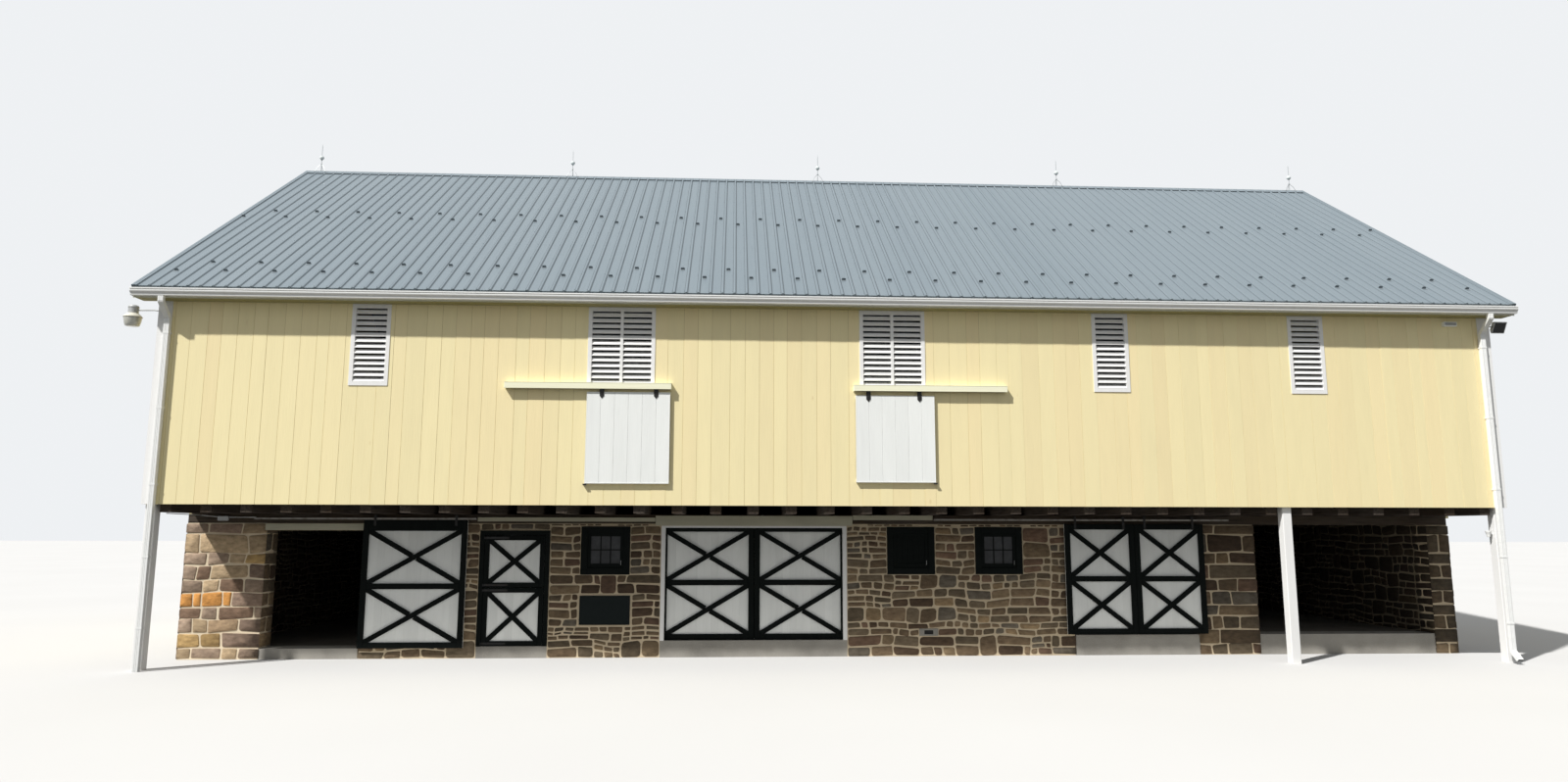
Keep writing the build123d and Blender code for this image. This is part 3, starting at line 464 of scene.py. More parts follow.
def roof_finish(name):
    """Grey-blue painted steel, with sheets of slightly different age and streaks, and painted shade in dark lines at
    the feet of the ribs.
    """
    colour, chalk, stain = (0.173, 0.214, 0.243), (0.203, 0.244, 0.271), (0.135, 0.170, 0.194)
    sheet = Finish(name, 0.5, specular=0.35)
    number = sheet.math("FLOOR", sheet.math("DIVIDE", sheet.axis("X"), SHEET_WIDTH))
    age = sheet.node("ShaderNodeTexWhiteNoise", noise_dimensions="1D")
    sheet.put(age.inputs["W"], number)
    run = sheet.noise(5.5, 4, (1, 0.07, 0.07))
    fine = sheet.noise(46, 2, (1, 0.03, 0.03))
    shade = sheet.mix(sheet.between(age.outputs["Value"], 0, 1, 0, 0.35), colour, chalk)
    shade = sheet.mix(sheet.between(run, 0.45, 0.75, 0, 0.5), shade, chalk)
    shade = sheet.mix(sheet.between(fine, 0.55, 0.8, 0, 0.5), shade, stain)
    # The dark lines at the feet of the ribs are painted shade, standing in for the shaded sides of the ribs.
    rib = sheet.math("PINGPONG", sheet.math("ADD", sheet.axis("X"), RIB_PITCH / 2), RIB_PITCH / 2)
    foot = sheet.math("ABSOLUTE", sheet.math("SUBTRACT", rib, RIB_FOOT))
    shade = sheet.mix(sheet.between(foot, 0.002, 0.010, 0.8, 0), shade, (0.07, 0.085, 0.095))
    swell = sheet.noise(1.3, 2)
    return sheet.done(shade, swell, 0.004, sheet.between(run, 0.3, 0.7, 0.44, 0.56))


def metal_finish(name, colour, spots, roughness, metallic=0.0, share=0.6, specular=0.3):
    """Plain or painted metal, spotted with dirt or rust."""
    metal = Finish(name, roughness, metallic, specular=specular)
    patch = metal.noise(14, 4)
    fine = metal.noise(90, 3)
    shade = metal.mix(metal.between(patch, 0.5, 0.75, 0, share), colour, spots)
    return metal.done(shade, fine, 0.0008, metal.between(patch, 0.4, 0.7, roughness, roughness + 0.15))


def concrete_finish(name, colour, dark):
    """Floated concrete with damp patches and pale grit."""
    slab = Finish(name, 0.9, specular=0.25)
    patch = slab.noise(1.2, 5)
    grit = slab.noise(60, 4)
    light = tuple(1.25 * value for value in colour)
    shade = slab.mix(slab.between(patch, 0.35, 0.7), colour, dark)
    shade = slab.mix(slab.between(grit, 0.5, 0.8, 0, 0.4), shade, light)
    return slab.done(shade, grit, 0.003)


def pane_painted_shade_finish(name):
    """Old glass with a film of dust, opaque, in a near-black that is painted shade standing in for the dark room seen
    through it.
    """
    glass = Finish(name, 0.08, specular=0.18)
    dust = glass.noise(3.5, 4)
    shade = glass.mix(glass.between(dust, 0.4, 0.75), (0.020, 0.022, 0.026), (0.045, 0.048, 0.052))
    return glass.done(shade, glass.noise(1.6, 1), 0.01, glass.between(dust, 0.35, 0.8, 0.05, 0.3))


def opal_finish(name, colour, roughness):
    """Milky glass."""
    glass = Finish(name, roughness)
    glass.shader.inputs["Coat Weight"].default_value = 1.0
    glass.shader.inputs["Subsurface Weight"].default_value = 0.3
    glass.shader.inputs["Subsurface Radius"].default_value = (0.02, 0.02, 0.02)
    cloud = glass.noise(22, 3)
    shaded = tuple(value * 0.82 for value in colour)
    return glass.done(glass.mix(glass.between(cloud, 0.4, 0.7), colour, shaded), cloud, 0.0004)


YELLOW = (0.93, 0.82, 0.485)
WHITE = (0.86, 0.87, 0.86)
BLACK = (0.0035, 0.0050, 0.0045)
finishes = {
    "yellow": painted_wood("yellow_paint", YELLOW, tinted=True, wear=0.06, knots=0.25),
    "yellow_plain": painted_wood("yellow_paint_plain", YELLOW, wear=0.08),
    # The soffit's yellow is darkened to a dark olive: painted shade of the deep shade under the eave.
    "yellow_with_painted_shade": painted_wood("soffit_paint_painted_shade", (0.30, 0.27, 0.12), axis="X", wear=0.15),
    "cream": painted_wood("cream_paint", (0.93, 0.92, 0.70), axis="X", wear=0.06),
    "white_boards": painted_wood("white_board_paint", (0.90, 0.92, 0.90), tinted=True, wear=0.08, knots=0.05),
    "white_upright": painted_wood("white_post_paint", (0.87, 0.87, 0.86), wear=0.08),
    # The fascia's white is dulled to a grey cream: painted shade, which also lessens the light it throws back.
    "fascia": painted_wood("fascia_paint_painted_shade", (0.60, 0.60, 0.48), axis="X", wear=0.15),
    "white_level": painted_wood("white_trim_paint", (0.80, 0.80, 0.74), axis="X", wear=0.10),
    "header": painted_wood("weathered_white_paint", (0.52, 0.50, 0.38), axis="X", wear=0.30),
    "black": painted_wood("black_paint", BLACK, wear=0.3, tinted=True, specular=0.06),
    "black_level": painted_wood("black_trim_paint", BLACK, axis="X", wear=0.3, specular=0.06),
    # The joists are near black: painted shade, as if they stood back in the siding's shadow.
    "joist": old_wood("joist_wood_painted_shade", (0.042, 0.029, 0.019), "Y"),
    "beam": old_wood("plate_wood", (0.060, 0.043, 0.028), "X"),
    "deck": old_wood("deck_wood", (0.085, 0.060, 0.040), "X", plank=0.24),
    "stone": masonry_finish("fieldstone"),
    "mortar": mortar_finish("lime_mortar", (0.63, 0.52, 0.365)),
    "pale_mortar": mortar_finish("pale_lime_mortar", (0.80, 0.68, 0.50)),
    "roof": roof_finish("roof_steel"),
    "enamel": metal_finish("white_enamel", WHITE, (0.66, 0.66, 0.62), 0.4, share=0.25),
    "track": metal_finish("track_zinc", (0.22, 0.21, 0.19), (0.10, 0.07, 0.05), 0.5, 0.4),
    "iron": metal_finish("black_iron", (0.008, 0.008, 0.008), (0.03, 0.02, 0.012), 0.6, share=0.4),
    "rod": metal_finish("rod_metal", (0.42, 0.44, 0.45), (0.25, 0.30, 0.28), 0.4, 0.8),
    "lamp": metal_finish("lamp_metal", (0.42, 0.43, 0.43), (0.30, 0.30, 0.28), 0.5, 0.3),
    "shade": metal_finish("shade_enamel", (0.72, 0.70, 0.60), (0.50, 0.47, 0.38), 0.4, share=0.4),
    "guard": metal_finish("guard_metal", (0.17, 0.20, 0.22), (0.12, 0.14, 0.155), 0.5, 0.1),
    "bronze": metal_finish("plaque_metal", (0.004, 0.007, 0.007), (0.010, 0.014, 0.014), 0.6, specular=0.12),
    "concrete": concrete_finish("concrete", (0.33, 0.315, 0.285), (0.22, 0.21, 0.19)),
    # The floors inside are dark: painted shade of the unlit inside of the barn.
    "indoor_floor_painted_shade": concrete_finish("indoor_concrete_painted_shade", (0.130, 0.118, 0.100), (0.080, 0.072, 0.060)),
    # Near-black glass: painted shade of the dark room seen through the windows; the flood light's lens uses it too.
    "pane": pane_painted_shade_finish("window_glass_painted_shade"),
    "opal": opal_finish("opal_glass", (0.80, 0.86, 0.86), 0.15),
    "bowl": opal_finish("lamp_glass", (0.50, 0.50, 0.44), 0.3),
}

node_finishes = {
    "concrete": ("door_sills",),
    # Inside floors, dark with painted shade.
    "indoor_floor_painted_shade": ("west_floor", "east_floor"),
    "mortar": (
        "front_wall_west", "front_wall_middle", "front_wall_east", "right_front_pier",
        "left_gable_wall", "right_gable_wall", "rear_stone_wall", "door_lintels",
    ),
    "pale_mortar": ("left_front_pier",),
    "beam": ("front_plate",),
    "joist": ("floor_joists",),
    "deck": ("loft_floor",),
    "yellow_plain": ("front_siding", "rear_siding", "left_gable_siding", "right_gable_siding"),
    "white_upright": (
        "left_corner_post", "right_corner_post", "middle_post", "corner_boards", "front_louvres",
        "rear_louvres", "gable_louvres", "centre_door_casing",
    ),
    "fascia": ("front_fascia", "rear_fascia"),
    "white_level": ("rake_boards",),
    "header": ("header_boards",),
    "roof": ("front_roof", "rear_roof", "ridge_cap"),
    "enamel": ("front_gutter", "rear_gutter", "downspouts"),
    "track": ("west_track", "east_track"),
    "black_level": ("dutch_door_frame",),
}
for finish, names in node_finishes.items():
    for name in names:
        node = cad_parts[name]
        node.data.materials.clear()
        node.data.materials.append(finishes[finish])


# Boards of the upper storey, laid over the siding nodes
BOARD_WIDTH = 0.286
BOARD_PROUD = 0.006
BOARD_GAP = 0.004
TIGHT_BOARDS = 3.0
CASING_LAP = 0.040
HATCH_LAP = 0.060
BOARD_JOINT = (0.50, 0.44, 0.30)
SINGLE_LOUVRES = (-8.995, 5.16, 9.10)
DOUBLE_LOUVRES = (-4.31, 0.87)
GABLE_LOUVRES = (-2.6, 2.6)
SINGLE_WIDTH = 0.72
DOUBLE_WIDTH = 1.27
SINGLE_BAYS = ((-0.287, 0.287),)
DOUBLE_BAYS = ((-0.562, -0.0275), (0.0275, 0.562))
SLAT_ROWS = 13
SLAT_PITCH = 0.108
FIRST_SLAT = 0.077
LOUVRE_LOW, LOUVRE_TOP = (corner.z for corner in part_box("front_louvres"))


def louvre_hole(middle, width):
    """The hole left in the boards for a louvre whose casing laps them all round."""
    reach = width / 2 - CASING_LAP
    return (middle - reach, middle + reach, LOUVRE_LOW + CASING_LAP, LOUVRE_TOP - CASING_LAP)


single_holes = [louvre_hole(x, SINGLE_WIDTH) for x in SINGLE_LOUVRES]
double_holes = [louvre_hole(x, DOUBLE_WIDTH) for x in DOUBLE_LOUVRES]
hatch_holes = [grown(front_box(node), -HATCH_LAP) for node in ("west_hatch_door", "east_hatch_door")]
gable_holes = [louvre_hole(u, SINGLE_WIDTH) for u in GABLE_LOUVRES]


def board_tint(rng):
    """A board's own share of the paint's colour: a little darker, and a little more peach."""
    shade = rng.uniform(0.955, 1.0)
    peach = max(0.0, rng.uniform(-0.03, 0.03))
    return (shade, shade * (1 - peach), shade * (1 - 1.2 * peach))


def cover_with_boards(shape, place, start, end, low, top, holes, rng):
    """Upright boards from u start to end, with dark joints. low and top are functions of u."""
    count = round((end - start) / BOARD_WIDTH)
    edges = [start]
    for index in range(1, count):
        drift = rng.uniform(-0.3, 0.3)
        edges.append(start + (index + 0.5 * drift) * (end - start) / count)
    edges.append(end)
    for left, right in zip(edges, edges[1:]):
        tint, seed = board_tint(rng), rng.uniform(0, 50)
        proud = BOARD_PROUD + rng.uniform(-0.0015, 0.002)
        gap = BOARD_GAP if right < TIGHT_BOARDS else BOARD_GAP / 2
        inner, outer = left + gap / 2, right - gap / 2
        near = [hole for hole in holes if hole[0] < outer and hole[1] > inner]
        cuts = {inner, outer}
        cuts.update(edge for hole in near for edge in hole[:2] if inner < edge < outer)
        cuts = sorted(cuts)
        for a, b in zip(cuts, cuts[1:]):
            middle = (a + b) / 2
            stops = [low(middle)]
            for hole in sorted(near, key=lambda hole: hole[2]):
                if hole[0] < middle < hole[1]:
                    stops += [hole[2], hole[3]]
            stops.append(None)
            for bottom, head in zip(stops[::2], stops[1::2]):
                if head is None:
                    outline = [(a, bottom), (b, bottom), (b, top(b)), (a, top(a))]
                    if top(middle) > max(top(a), top(b)) + 0.001:
                        outline.insert(3, (0, top(0)))
                else:
                    outline = rectangle(a, b, bottom, head)
                chamfer = 0.0015 if len(cuts) == 2 else 0.0
                shape.prism(place, outline, -0.002, proud, chamfer, tint, seed)
        joint = rectangle(right - BOARD_GAP, right + BOARD_GAP, low(right), top(right))
        if right < end and not any(hole[0] < right < hole[1] for hole in holes):
            shape.add([place @ Vector((u, v, 0.0015)) for u, v in joint], [(0, 1, 2, 3)], BOARD_JOINT)


def roof_underside(y):
    """Height of the roof's underside over a distance from the ridge."""
    return ROOF_UNDERSIDE_AT_RIDGE - abs(y) * math.tan(SLOPE)


ROOF_UNDERSIDE_AT_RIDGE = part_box("left_gable_siding")[1].z - 0.001
SOFFIT_UNDERSIDE = SOFFIT - 0.001
SOFFIT_REACH = 0.30


def make_siding():
    rng = random.Random(11)
    start, end = -HALF_LENGTH + 0.004, HALF_LENGTH - 0.004
    rear_holes = [(-b, -a, c, d) for a, b, c, d in single_holes]
    for side, at, holes, bottom in (
        ("front", FRONT, single_holes + double_holes + hatch_holes, SIDING_BOTTOM),
        ("rear", REAR, rear_holes, PLATE_TOP),
    ):
        boards = Shape()
        cover_with_boards(
            boards, facing(side, at), start, end, lambda u: bottom, lambda u: SOFFIT_UNDERSIDE, holes, rng,
        )
        make(f"{side}_boards", boards, "yellow")
    for side, way, bottom in (("left", -1, PLATE_TOP), ("right", 1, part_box("right_gable_siding")[0].z)):
        boards = Shape()

        def low(u):
            return SIDING_BOTTOM if u * way < WALL_FACE else bottom

        cover_with_boards(
            boards, facing(side, way * HALF_LENGTH), FRONT + 0.004, REAR - 0.004, low, roof_underside,
            gable_holes, rng,
        )
        make(f"{side}_gable_boards", boards, "yellow")


def make_soffits():
    """Yellow boards along the underside of each eave, in a dark olive that is painted shade of the deep shade under the
    eave.
    """
    for side, at, fascia in (
        ("front", FRONT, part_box("front_fascia")[0].y),
        ("rear", REAR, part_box("rear_fascia")[1].y),
    ):
        boards = Shape()
        reach = abs(fascia - at)
        for inner, outer in ((0.010, reach / 2 - 0.002), (reach / 2 + 0.002, reach - 0.024)):
            y = sorted(at + math.copysign(out, at) for out in (inner, outer))
            boards.block((-HALF_LENGTH - SOFFIT_REACH, HALF_LENGTH + SOFFIT_REACH), y, (SOFFIT - 0.005, SOFFIT), 0.001)
        make(f"{side}_soffit_boards_painted_shade", boards, "yellow_with_painted_shade")


def make_louvre_lips():
    """The turned-down front edges of the louvre slats."""
    singles = [(x, SINGLE_BAYS) for x in SINGLE_LOUVRES]
    doubles = [(x, DOUBLE_BAYS) for x in DOUBLE_LOUVRES]
    gables = [(u, SINGLE_BAYS) for u in GABLE_LOUVRES]
    for name, side, at, places in (
        ("front", "front", FRONT, singles + doubles),
        ("rear", "rear", REAR, [(-x, bays) for x, bays in singles]),
        ("left_gable", "left", -HALF_LENGTH, gables),
        ("right_gable", "right", HALF_LENGTH, gables),
    ):
        lips = Shape()
        place = facing(side, at)
        for middle, bays in places:
            for start, end in bays:
                for row in range(SLAT_ROWS):
                    z = LOUVRE_LOW + FIRST_SLAT + row * SLAT_PITCH
                    low = z - (0.010 if row else 0.002)
                    outline = rectangle(middle + start + 0.002, middle + end - 0.002, low, z + 0.006)
                    lips.prism(place, outline, 0.011, 0.0175, 0.001)
        make(f"{name}_louvre_lips", lips, "white_upright")


make_siding()
make_soffits()
make_louvre_lips()

# Stones
COURSES = (0, 0.33, 0.66, 0.96, 1.30, 1.61, 1.93, 2.25, 2.565, 2.80)
PIER_COURSES = (0, 0.21, 0.50, 0.77, 0.99, 1.26, 1.525, 1.81, 2.04, 2.41)
JOINT = 0.029
STONE_PROUD = 0.013
WOBBLE_FADE = 0.15
SHORTEST_STONE = 0.13
QUOIN = 0.46
SHORT_QUOIN = 0.27
LEADS = (0.26, 0.42)
STONE_COLOURS = (
    ((0.140, 0.101, 0.064), 4.0),
    ((0.120, 0.094, 0.063), 3.5),
    ((0.175, 0.129, 0.080), 2.0),
    ((0.072, 0.048, 0.031), 1.3),
    ((0.117, 0.101, 0.079), 1.2),
    ((0.133, 0.086, 0.059), 1.1),
    ((0.220, 0.158, 0.092), 0.6),
)
PIER_COLOURS = (
    ((0.370, 0.266, 0.170), 2.5),
    ((0.320, 0.242, 0.182), 2.5),
    ((0.265, 0.192, 0.147), 2.0),
    ((0.430, 0.325, 0.208), 1.5),
    ((0.175, 0.116, 0.080), 1.3),
    ((0.440, 0.300, 0.135), 0.6),
)
STONE_VALUES = (0.74, 1.27)
ORANGE_STONE = (0.60, 0.29, 0.085)
ORANGE_WIDTHS = (0.23, 0.17, 0.38, 0.15)


class Face:
    """One face of a stone wall: its place, its limits, its holes and which ends turn a corner.

    A squared face has long blocks in even courses. Stones in its orange area are ochre.
    """

    def __init__(
        self, place, u, v, holes=(), corners=(False, False), squared=False, key=1, courses=COURSES,
        colours=STONE_COLOURS, value=1.0, orange=None,
    ):
        self.place = place
        self.u = u
        self.v = v
        self.holes = holes
        self.corners = corners
        self.squared = squared
        self.courses = courses
        self.colours = colours
        self.value = value
        self.orange = orange
        self.rng = random.Random(key)
        self.shift = key * 7.3

    def levels(self):
        """Heights of the bed joints. They meet the holes and carry on around the corners."""
        fixed = {self.v[0], self.v[1]}
        for hole in self.holes:
            fixed.update(level for level in hole[2:] if self.v[0] < level < self.v[1])
        courses = [c for c in self.courses if self.v[0] < c < self.v[1]]
        kept = [c for c in courses if all(abs(c - level) > 0.12 for level in fixed)]
        return sorted(fixed | set(kept))

    def wobble(self, u, v):
        """How far a point of the joints wanders, nothing at the face's edges."""
        room = min(u - self.u[0], self.u[1] - u, v - self.v[0] + 0.05, self.v[1] - v)
        for a, b, c, d in self.holes:
            room = min(room, max(a - u, u - b, c - v, v - d))
        fade = max(0.0, min(1.0, room / WOBBLE_FADE))
        broad = noise.noise_vector(Vector((u * 1.6, v * 2.2, self.shift))) * 0.060
        close = noise.noise_vector(Vector((u * 5.5, v * 6.5, self.shift + 40))) * 0.022
        move = (broad + close) * fade
        return u + move.x, max(v + move.y, self.v[0] + 0.002)

    def stone(self, shape, u0, u1, v0, v1):
        """One stone: a rounded outline, a rough bevel and a slightly domed, tilted face."""
        rng = self.rng
        corner = (
            self.corners[0] and u0 <= self.u[0] + 0.001,
            self.corners[1] and u1 >= self.u[1] - 0.001,
        )
        sides = [
            u0 + (0 if corner[0] else JOINT * rng.uniform(0.35, 0.75)),
            u1 - (0 if corner[1] else JOINT * rng.uniform(0.35, 0.75)),
            v0 + JOINT * rng.uniform(0.35, 0.7),
            v1 - JOINT * rng.uniform(0.35, 0.7),
        ]
        width, height = sides[1] - sides[0], sides[3] - sides[2]
        if width < 0.02 or height < 0.02:
            return
        outline = []
        walk = (
            (sides[0], sides[2], (0, 1), (1, 0), corner[0]),
            (sides[1], sides[2], (-1, 0), (0, 1), corner[1]),
            (sides[1], sides[3], (0, -1), (-1, 0), corner[1]),
            (sides[0], sides[3], (1, 0), (0, -1), corner[0]),
        )
        for u, v, back, ahead, at_corner in walk:
            round_share = rng.uniform(0.05, 0.18) if self.squared else rng.uniform(0.10, 0.34)
            cut = 0.004 if at_corner else min(0.06, min(width, height) * round_share)
            outline.append((u + back[0] * cut, v + back[1] * cut))
            outline.append((u + (back[0] + ahead[0]) * cut * 0.3, v + (back[1] + ahead[1]) * cut * 0.3))
            outline.append((u + ahead[0] * cut, v + ahead[1] * cut))
        outline = [self.wobble(u, v) for u, v in outline]
        middle_u = sum(u for u, v in outline) / len(outline)
        middle_v = sum(v for u, v in outline) / len(outline)
        proud = STONE_PROUD * rng.uniform(0.75, 1.2)
        lean_u, lean_v = rng.uniform(-0.012, 0.012), rng.uniform(-0.02, 0.02)
        rings = []
        for shrink, depth, lean in ((0.0, -0.004, 0), (0.003, proud * 0.62, 0), (0.013, proud, 1)):
            ring = []
            for index, (u, v) in enumerate(outline):
                away_u, away_v = u - middle_u, v - middle_v
                out = depth + lean * (lean_u * away_u + lean_v * away_v)
                if corner[0] and index in (0, 1, 2, 9, 10, 11) and away_u < -0.4 * width:
                    u = self.u[0] - max(depth, 0)
                    out = depth
                elif corner[1] and 3 <= index <= 8 and away_u > 0.4 * width:
                    u = self.u[1] + max(depth, 0)
                    out = depth
                else:
                    u -= 2 * shrink * away_u / width
                v -= 2 * shrink * away_v / height
                ring.append(self.place @ Vector((u, v, out)))
            rings.append(ring)
        crown = self.place @ Vector((middle_u, middle_v, proud + rng.uniform(0.0, 0.006)))
        colours, weights = zip(*self.colours)
        colour = rng.choices(colours, weights)[0]
        value = self.value * rng.uniform(*STONE_VALUES)
        if self.orange:
            a, b, c, d = self.orange
            if a < middle_u < b and c < middle_v < d:
                colour = ORANGE_STONE
        tint = tuple(channel * value for channel in colour)
        count = len(outline)
        points = [point for ring in rings for point in ring] + [crown]
        faces = []
        for row in (0, count):
            for index in range(count):
                after = (index + 1) % count
                faces.append((row + index, row + after, row + count + after, row + count + index))
        faces += [(2 * count + index, 2 * count + (index + 1) % count, 3 * count) for index in range(count)]
        shape.add(points, faces, tint, rng.uniform(0, 60))

    def row(self, shape, start, end, low, high, lead=None):
        """One row of stones. lead is the first stone's width, where that is fixed."""
        rng = self.rng
        height = high - low
        here = start
        widths = []
        if self.orange and self.orange[2] - 0.01 < low and high < self.orange[3] + 0.01:
            widths = list(ORANGE_WIDTHS)
        while here < end - 0.01:
            width = min(1.0, max(0.15, height * rng.uniform(0.9, 3.4)))
            if here == start and lead:
                width = lead
            if widths:
                width = widths.pop(0)
            if end - here - width < SHORTEST_STONE:
                width = end - here
            self.stone(shape, here, here + width, low, high)
            here += width

    def span(self, shape, start, end, low, high, number):
        """A stretch of one course: single stones, or stones stacked two or three high."""
        rng = self.rng
        middle = low + (high - low) * (0.42 + 0.16 * math.modf(low * 37)[0])
        if self.squared or end - start < 0.75 or high - low < 0.2:
            splits = [low, middle, high] if high - low > (0.42 if self.squared else 0.24) else [low, high]
            for index, (bottom, top) in enumerate(zip(splits, splits[1:])):
                self.row(shape, start, end, bottom, top, LEADS[(number + index) % 2])
            return
        if start <= self.u[0] + 0.001 and self.corners[0]:
            self.quoins(shape, start, 1, low, middle, high)
            start += QUOIN
        last = None
        if end >= self.u[1] - 0.001 and self.corners[1]:
            last = end
            end -= QUOIN
        here = start
        while here < end - 0.01:
            rows = rng.choices((1, 2, 3), (0.22, 0.60, 0.18))[0]
            width = rng.uniform(0.28, 0.52) if rows == 1 else rng.uniform(0.45, 1.05)
            if end - here - width < 0.28:
                width = end - here
                rows = max(rows, 2) if width > 0.6 else rows
            cuts = [low + (high - low) * (index + rng.uniform(-0.13, 0.13)) / rows for index in range(rows + 1)]
            cuts[0], cuts[-1] = low, high
            for bottom, top in zip(cuts, cuts[1:]):
                if rows == 1:
                    self.stone(shape, here, here + width, bottom, top)
                else:
                    self.row(shape, here, here + width, bottom, top)
            here += width
        if last:
            self.quoins(shape, last, -1, low, middle, high)

    def quoins(self, shape, edge, way, low, middle, high):
        """Long and short corner stones in turn."""
        for bottom, top, reach in ((low, middle, QUOIN), (middle, high, SHORT_QUOIN)):
            self.stone(shape, *sorted((edge, edge + way * reach)), bottom, top)
            if reach < QUOIN:
                self.stone(shape, *sorted((edge + way * reach, edge + way * QUOIN)), bottom, top)

    def build(self, shape):
        levels = self.levels()
        for number, (low, high) in enumerate(zip(levels, levels[1:])):
            start = self.u[0]
            for a, b, c, d in sorted(self.holes) + [(self.u[1], self.u[1], low, high)]:
                if min(high, d) - max(low, c) > 0.01:
                    if a > start + 0.01:
                        self.span(shape, start, a, low, high, number)
                    start = max(start, b)


PLAQUE = (-5.195, -4.200, 0.630, 1.200)
VENT = (1.60, 1.98, 0.395, 0.535)
REAR_WINDOWS = [(x, x + 0.98) for x in (-9.47, -3.37, 2.39, 8.49)]
REAR_WINDOW_LEVELS = (1.61, 2.565)


def x_limits(node):
    return front_box(node)[:2]


def make_masonry():
    """Single stones on the outer and inner faces of the walls, in one piece for each wall."""
    front = facing("front", WALL_FACE)
    below = (0, STONE_TOP)
    both = (True, True)
    pier, west, middle, east, right = (
        x_limits(name) for name in
        ("left_front_pier", "front_wall_west", "front_wall_middle", "front_wall_east", "right_front_pier")
    )
    rear_holes = [(a, b, *REAR_WINDOW_LEVELS) for a, b in REAR_WINDOWS]
    lintels = ((pier[1], west[0]), (west[1], middle[0]), (east[1], right[0]))
    lintel_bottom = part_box("door_lintels")[0].z
    full = (0, PLATE_TOP)
    jamb = (WALL_FACE, WALL_BACK)
    away = (-WALL_BACK, -WALL_FACE)
    left_plate = (-WALL_FACE - 0.30, -WALL_FACE, STONE_TOP, PLATE_TOP)
    right_plate = (WALL_FACE, WALL_FACE + 0.30, STONE_TOP, PLATE_TOP)
    pier_style = {"squared": True, "courses": PIER_COURSES}

    def inner_jamb(at, key):
        return Face(facing("right", at), jamb, below, corners=(True, False), key=key, **pier_style)

    def outer_jamb(at, key):
        return Face(facing("left", at), away, below, corners=(False, True), key=key, **pier_style)

    walls = {
        "left_pier_stones": [
            Face(front, pier, below, corners=both, key=1, colours=PIER_COLOURS,
                 orange=(pier[0], pier[0] + 0.93, 0.99, 1.26), **pier_style),
            inner_jamb(pier[1], 2),
        ],
        "front_stones_west": [Face(front, west, below, corners=(True, False), key=3), outer_jamb(west[0], 4)],
        "front_stones_middle": [
            Face(front, middle, below, [front_box("window_west"), grown(PLAQUE, 0.03)], key=5, value=0.9),
        ],
        "front_stones_east": [
            Face(front, east, below, [front_box("window_middle"), front_box("window_east"), VENT],
                 corners=(False, True), key=6, value=1.2),
            inner_jamb(east[1], 7),
        ],
        "right_pier_stones": [
            Face(front, right, below, corners=both, key=8, value=0.84, **pier_style),
            outer_jamb(right[0], 9),
            inner_jamb(right[1], 10),
        ],
        "lintel_stones": [
            Face(front, ends, (lintel_bottom, STONE_TOP), key=11 + index) for index, ends in enumerate(lintels)
        ],
        "left_gable_stones": [
            Face(facing("left", -HALF_LENGTH), (-REAR, -WALL_FACE), full, [left_plate], both, key=21, value=1.7),
        ],
        "right_gable_stones": [
            Face(front, (RIGHT_INNER, RIGHT_OUTER), below, corners=both, key=22, value=0.68, **pier_style),
            Face(facing("right", RIGHT_OUTER), (WALL_FACE, REAR), full, [right_plate], both, key=23, value=1.5),
        ],
        # The inner faces' stones get low values: painted shade of the barn's dark inside.
        "right_gable_inner_stones": [
            Face(facing("left", RIGHT_INNER), (-REAR_INNER, -WALL_FACE), full, [left_plate], (False, True), key=24,
                 value=0.22),
        ],
        "left_gable_inner_stones": [
            Face(facing("right", LEFT_INNER), (WALL_BACK, REAR_INNER), full, key=25, value=0.38),
        ],
        "rear_stones": [
            Face(facing("rear", REAR), (-RIGHT_OUTER, HALF_LENGTH), full,
                 [(-b, -a, *REAR_WINDOW_LEVELS) for a, b in REAR_WINDOWS], both, key=26, value=1.5),
        ],
        # The inner face's stones get a low value: painted shade of the barn's dark inside.
        "rear_inner_stones": [
            Face(facing("front", REAR_INNER), (LEFT_INNER, RIGHT_INNER), full, rear_holes, key=27, value=0.38),
        ],
    }
    for name, faces in walls.items():
        stones = Shape()
        for face in faces:
            face.build(stones)
        make(name, stones, "stone", smooth=True)


make_masonry()


# Doors
DOOR_BOARD = 0.145
PAINT_CHAMFER = 0.004
SLIDE_FRONT = WALL_FACE - 0.095
CENTRE_FRONT = WALL_FACE + 0.068
DUTCH_FRONT = WALL_FACE - 0.020
LEAF_THICKNESS = 0.060
LEAF_EDGE = 0.110
DUTCH_EDGE = 0.095
BACKING = 0.025
BRACE = 0.095
HANGER_INSET = 0.22
ROLLER_RADIUS = 0.028
ROLLER_WIDTH = 0.030
ROLLER_CLEARANCE = 0.0005
PIN_HOLE = 0.0064
STRAP_EYE = 0.012
STRAP_THICKNESS = 0.005
STRAP_HEIGHT = 0.040
STRAP_REACH = 0.48


